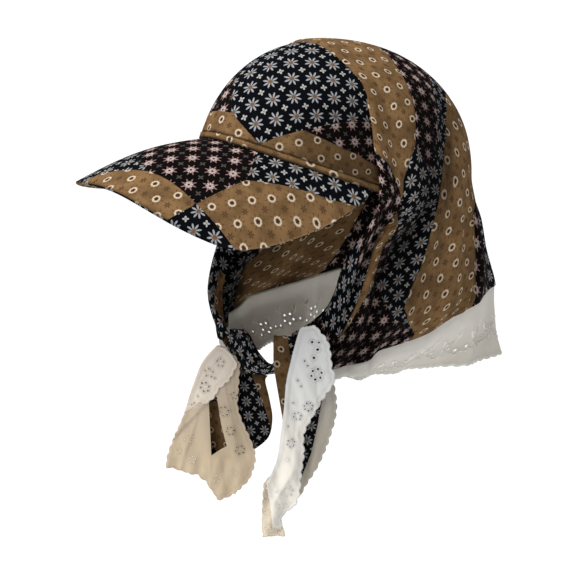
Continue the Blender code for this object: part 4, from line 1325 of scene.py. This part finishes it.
def tail_outline(rows, sag=0.0, left=0.0, right=0.0, bottom=0.0):
    """Loop round the curtain; a share over 0 scallops that edge."""
    v = np.linspace(0, 1, 61)
    u = np.linspace(0, 1, 25)
    sides = []
    for across, down, share in ((0 * v, v, left), (u, 0 * u + 1, bottom), (0 * v + 1, v[::-1], right),
                                (u[::-1], 0 * u, 0.0)):
        along, z, _ = tail_rows_point(across, down, rows, sag)
        line = np.stack([along, z], 1)
        sides.append((scalloped(line, -1.0, share) if share > 0 else line)[:-1])
    return np.concatenate(sides)


def tail_cloth(name, rows, turn, patches, cut, shade, material, nodes, folds, trim=()):
    """Printed end of the scarf."""
    flat, faces = cut_sheet(tail_outline(rows), [], 0.0022, [np.array(t) / 1000 for t in trim])
    points = tail_place(rows, turn, folds=folds)(flat)
    fields = patch_fields(flat, placed(patches, 1000), 1)
    fields["uv0"] = turned(flat[:, 0] * PRINT_SHRINK, flat[:, 1] * PRINT_SHRINK, *cut)
    fields["shade"] = np.full(len(flat), shade)
    piece = add_piece(name, points, faces, material, fields, CLOTH, nodes)
    area = mesh_area(points, faces)


def lace_tail(name, outline, eyelet_rows, place, material, nodes=(), openings=()):
    """Eyelet lace along one end of the scarf."""
    holes = eyelets(eyelet_rows)
    cut = cut_sheet(outline, holes, 0.0014, openings)
    piece, area = lace_piece(name, cut, outline, holes, place, material, nodes)


def build_left_tail(cloth, lace):
    """Print, lace with its folded-back strip, and the lace's hanging back layer, on the wearer's left."""
    turn = LEFT_TAIL_TURN
    tail_cloth("tail_left_cloth", TAIL_LEFT, turn, TAIL_LEFT_PATCHES, (15, 0.003, 0.004), 0.35, cloth,
               ["tail_left"], LEFT_FOLDS, [TAIL_LEFT_TRIM])
    place = tail_place(TAIL_LEFT_LACE, turn, folds=FRONT_FOLDS, steps=FRONT_STEPS)
    outline = tail_outline(TAIL_LEFT_LACE, right=1.0, bottom=0.8)
    lace_tail("tail_left_lace_cloth", outline, LEFT_EYELETS, place, lace["front_eyelet"],
              ["tail_lace_left"], [np.array(STRIP_CUT) / 1000])
    place = tail_place(TAIL_LEFT_LACE, turn, lift=-LAYER_STEP, folds=FRONT_FOLDS[1:2])
    outline = scalloped(np.array(STRIP_OUTLINE + STRIP_OUTLINE[:1]) / 1000, -1.0, 0.5)[:-1]
    lace_tail("tail_left_lace_strip", outline, STRIP_EYELETS, place, lace["strip_eyelet"])
    place = tail_place(TAIL_LEFT_BACK, turn, folds=BACK_FOLDS, steps=BACK_STEPS)
    outline = tail_outline(TAIL_LEFT_BACK, right=1.0)
    lace_tail("tail_left_lace_back", outline, [], place, lace["back_eyelet"], ["tail_lace_left_back"])


def build_right_tail(cloth, lace):
    """Print, long lace with its opening, and the flap that is folded over it, on the wearer's right."""
    turn, sag = RIGHT_TAIL_TURN, TAIL_RIGHT_SAG
    tail_cloth("tail_right_cloth", TAIL_RIGHT, turn, TAIL_RIGHT_PATCHES, (-8, 0.001, 0.006), 0.45, cloth,
               ["tail_right"], RIGHT_FOLDS)
    place = tail_place(TAIL_RIGHT_LACE, turn, sag, folds=LOWER_FOLDS, steps=LOWER_STEPS)
    outline = tail_outline(TAIL_RIGHT_LACE, sag, left=0.8, right=1.0, bottom=1.0)
    foot = scalloped(np.array(LOWER_FOOT) / 1000, -1.0)
    foot = np.concatenate([foot, [[-0.054, -0.33], [-0.12, -0.33], [-0.12, -0.2875]]])
    lace_tail("tail_right_lace_cloth", outline, LOWER_EYELETS, place, lace["lower_eyelet"],
              ["tail_lace_right"], [np.array(SLIT) / 1000, foot])
    v = np.linspace(0, 0.64, 44)
    along, z, _ = tail_rows_point(0 * v, v, TAIL_RIGHT_LACE, sag)
    edge = scalloped(np.array(FLAP_EDGE) / 1000, 1.0)
    outline = np.concatenate([np.stack([along, z], 1)[:-1], edge[::-1], np.array(FLAP_TOP[::-1]) / 1000])
    place = tail_place(TAIL_RIGHT_LACE, turn, sag, lift=LAYER_STEP, folds=LOWER_FOLDS, steps=FLAP_STEPS)
    lace_tail("tail_right_lace_flap", outline, FLAP_EYELETS, place, lace["flap_eyelet"])


# Knot: pleated wrap under the chin
KNOT_START = (-0.0228, -0.0512, -0.1755)
KNOT_END = (0.0457, -0.0418, -0.1700)
KNOT_SAG = (0.0, -0.0040, -0.0050)
KNOT_HALF_HEIGHT = 0.0150
KNOT_HALF_DEPTH = 0.0062
KNOT_PLEATS = 5

# Upper edge of the knot over its middle line, in metres, by share of its length from the wearer's right
KNOT_SHARE = [0.0, 0.34, 0.44, 0.54, 0.70, 0.82, 0.92, 1.0]
KNOT_TOP = [0.0150, 0.0150, 0.0070, 0.0005, -0.0065, -0.0040, 0.0110, 0.0150]


def build_knot(material):
    """The two scarf ends wound round each other: a pleated bundle of printed cloth."""
    start, end, sag = np.array(KNOT_START), np.array(KNOT_END), np.array(KNOT_SAG)
    k, a = np.meshgrid(np.linspace(0, 1, 61), np.linspace(0, 2 * pi, 97), indexing="ij")
    axis = (end - start) / np.linalg.norm(end - start)
    up = np.array([0.0, 0.0, 1.0])
    out = np.cross(up, axis)
    out /= np.linalg.norm(out)
    fat = 0.85 + 0.15 * np.sin(pi * k) ** 0.7
    half = (curve(k, KNOT_SHARE, KNOT_TOP) + KNOT_HALF_HEIGHT) / 2
    pleat = 0.0009 * np.cos(2 * KNOT_PLEATS * a + 2.0 * k) + 0.0003 * np.sin(23 * a + 5 * k)
    pleat = pleat * half / KNOT_HALF_HEIGHT
    middle = start + (end - start) * k[..., None] + sag * np.sin(pi * k)[..., None]
    middle = middle + up * ((half - KNOT_HALF_HEIGHT) * fat)[..., None]
    points = middle + up * (np.sin(a) * (half * fat + pleat))[..., None]
    points = points + out * (np.cos(a) * (KNOT_HALF_DEPTH * fat + pleat))[..., None]
    ids = np.arange(k.size).reshape(k.shape)
    ids[:, -1] = ids[:, 0]
    flat = points.reshape(-1, 3)
    faces = grid_faces(ids)
    faces += [[int(i) for i in ids[0, :-1]], [int(i) for i in ids[-1, -2::-1]]]
    used, inverse = np.unique(np.concatenate(faces), return_inverse=True)
    cuts = np.cumsum([len(f) for f in faces])[:-1]
    faces = [f.tolist() for f in np.split(inverse, cuts)]
    flat = flat[used]
    length = float(np.linalg.norm(end - start))
    u, v = (k * length * PRINT_SHRINK).ravel()[used], (a * 0.015).ravel()[used]
    fields = {key: np.full(len(flat), far) for key, far in (("tan", -FAR), ("rose", -FAR), ("seam", FAR))}
    fields["uv0"] = turned(u, v, 25, 0.002, 0.003)
    knot = add_piece("knot_wrap", flat, faces, material, fields, nodes=["knot"])


def build_studio():
    """Wide white floor far below, even sky light and one very soft lamp from the upper left of the view."""
    scene = bpy.context.scene
    floor = bpy.data.objects.new("floor", bpy.data.meshes.new("floor"))
    corners = [(x * FLOOR_HALF, y * FLOOR_HALF, FLOOR_Z) for x, y in ((-1, -1), (1, -1), (1, 1), (-1, 1))]
    floor.data.from_pydata(corners, [], [(0, 1, 2, 3)])
    floor.data.materials.append(plain_material("studio_floor", (0.82, 0.82, 0.82), 0.9))
    scene.collection.objects.link(floor)
    world = bpy.data.worlds.new("studio")
    scene.world = world
    world.use_nodes = True
    shade = world.node_tree.nodes["Background"]
    shade.inputs["Color"].default_value = (0.97, 0.98, 1.0, 1.0)
    shade.inputs["Strength"].default_value = SKY
    lamp = bpy.data.lights.new("lamp", "SUN")
    lamp.energy = LAMP
    lamp.angle = radians(LAMP_SOFTNESS)
    obj = bpy.data.objects.new("lamp", lamp)
    obj.rotation_euler = (-Vector(LAMP_FROM)).to_track_quat("-Z", "Y").to_euler()
    scene.collection.objects.link(obj)
    scene.view_settings.view_transform = "Standard"


def build_camera():
    """Camera at the photograph's angle; the frame's origin lands on its own pixel."""
    a, e = radians(VIEW_TURN), radians(VIEW_HEIGHT)
    back = Vector((sin(a) * cos(e), -cos(a) * cos(e), sin(e)))
    right = Vector((cos(a), sin(a), 0.0))
    up = right.cross(-back)
    focal = PIXELS_PER_METRE * VIEW_DISTANCE
    aim = right * ((PIXELS / 2 - ORIGIN_PIXEL[0]) / focal * VIEW_DISTANCE)
    aim -= up * ((PIXELS / 2 - ORIGIN_PIXEL[1]) / focal * VIEW_DISTANCE)
    spot = aim + back * VIEW_DISTANCE
    camera = bpy.data.objects.new("camera", bpy.data.cameras.new("camera"))
    bpy.context.scene.collection.objects.link(camera)
    camera.data.sensor_width = 36.0
    camera.data.lens = focal / PIXELS * 36.0
    camera.data.clip_start = 0.01
    camera.matrix_world = Matrix(((right.x, up.x, back.x, spot.x), (right.y, up.y, back.y, spot.y),
                                  (right.z, up.z, back.z, spot.z), (0.0, 0.0, 0.0, 1.0)))
    bpy.context.scene.camera = camera


def main():
    build_camera()
    build_studio()
    peak_print = patchwork_material("peak_print", len(PEAK_CUTS))
    crown_print = patchwork_material("crown_print", len(CROWN_CUTS))
    scarf_print = patchwork_material("scarf_print", len(SCARF_CENTRES))
    small_print = patchwork_material("small_print")
    thread = plain_material("brown_thread", (0.045, 0.026, 0.014))
    lace = {name: lace_material(name) for name in LACES}
    build_band(small_print, thread)
    build_crown(crown_print)
    build_peak(peak_print)
    points, grid, place = build_scarf(scarf_print)
    build_hem_lace(lace["hem_eyelet"], lace["hem_thread"], points, grid, place)
    build_knot(small_print)
    build_left_tail(small_print, lace)
    build_right_tail(small_print, lace)


main()
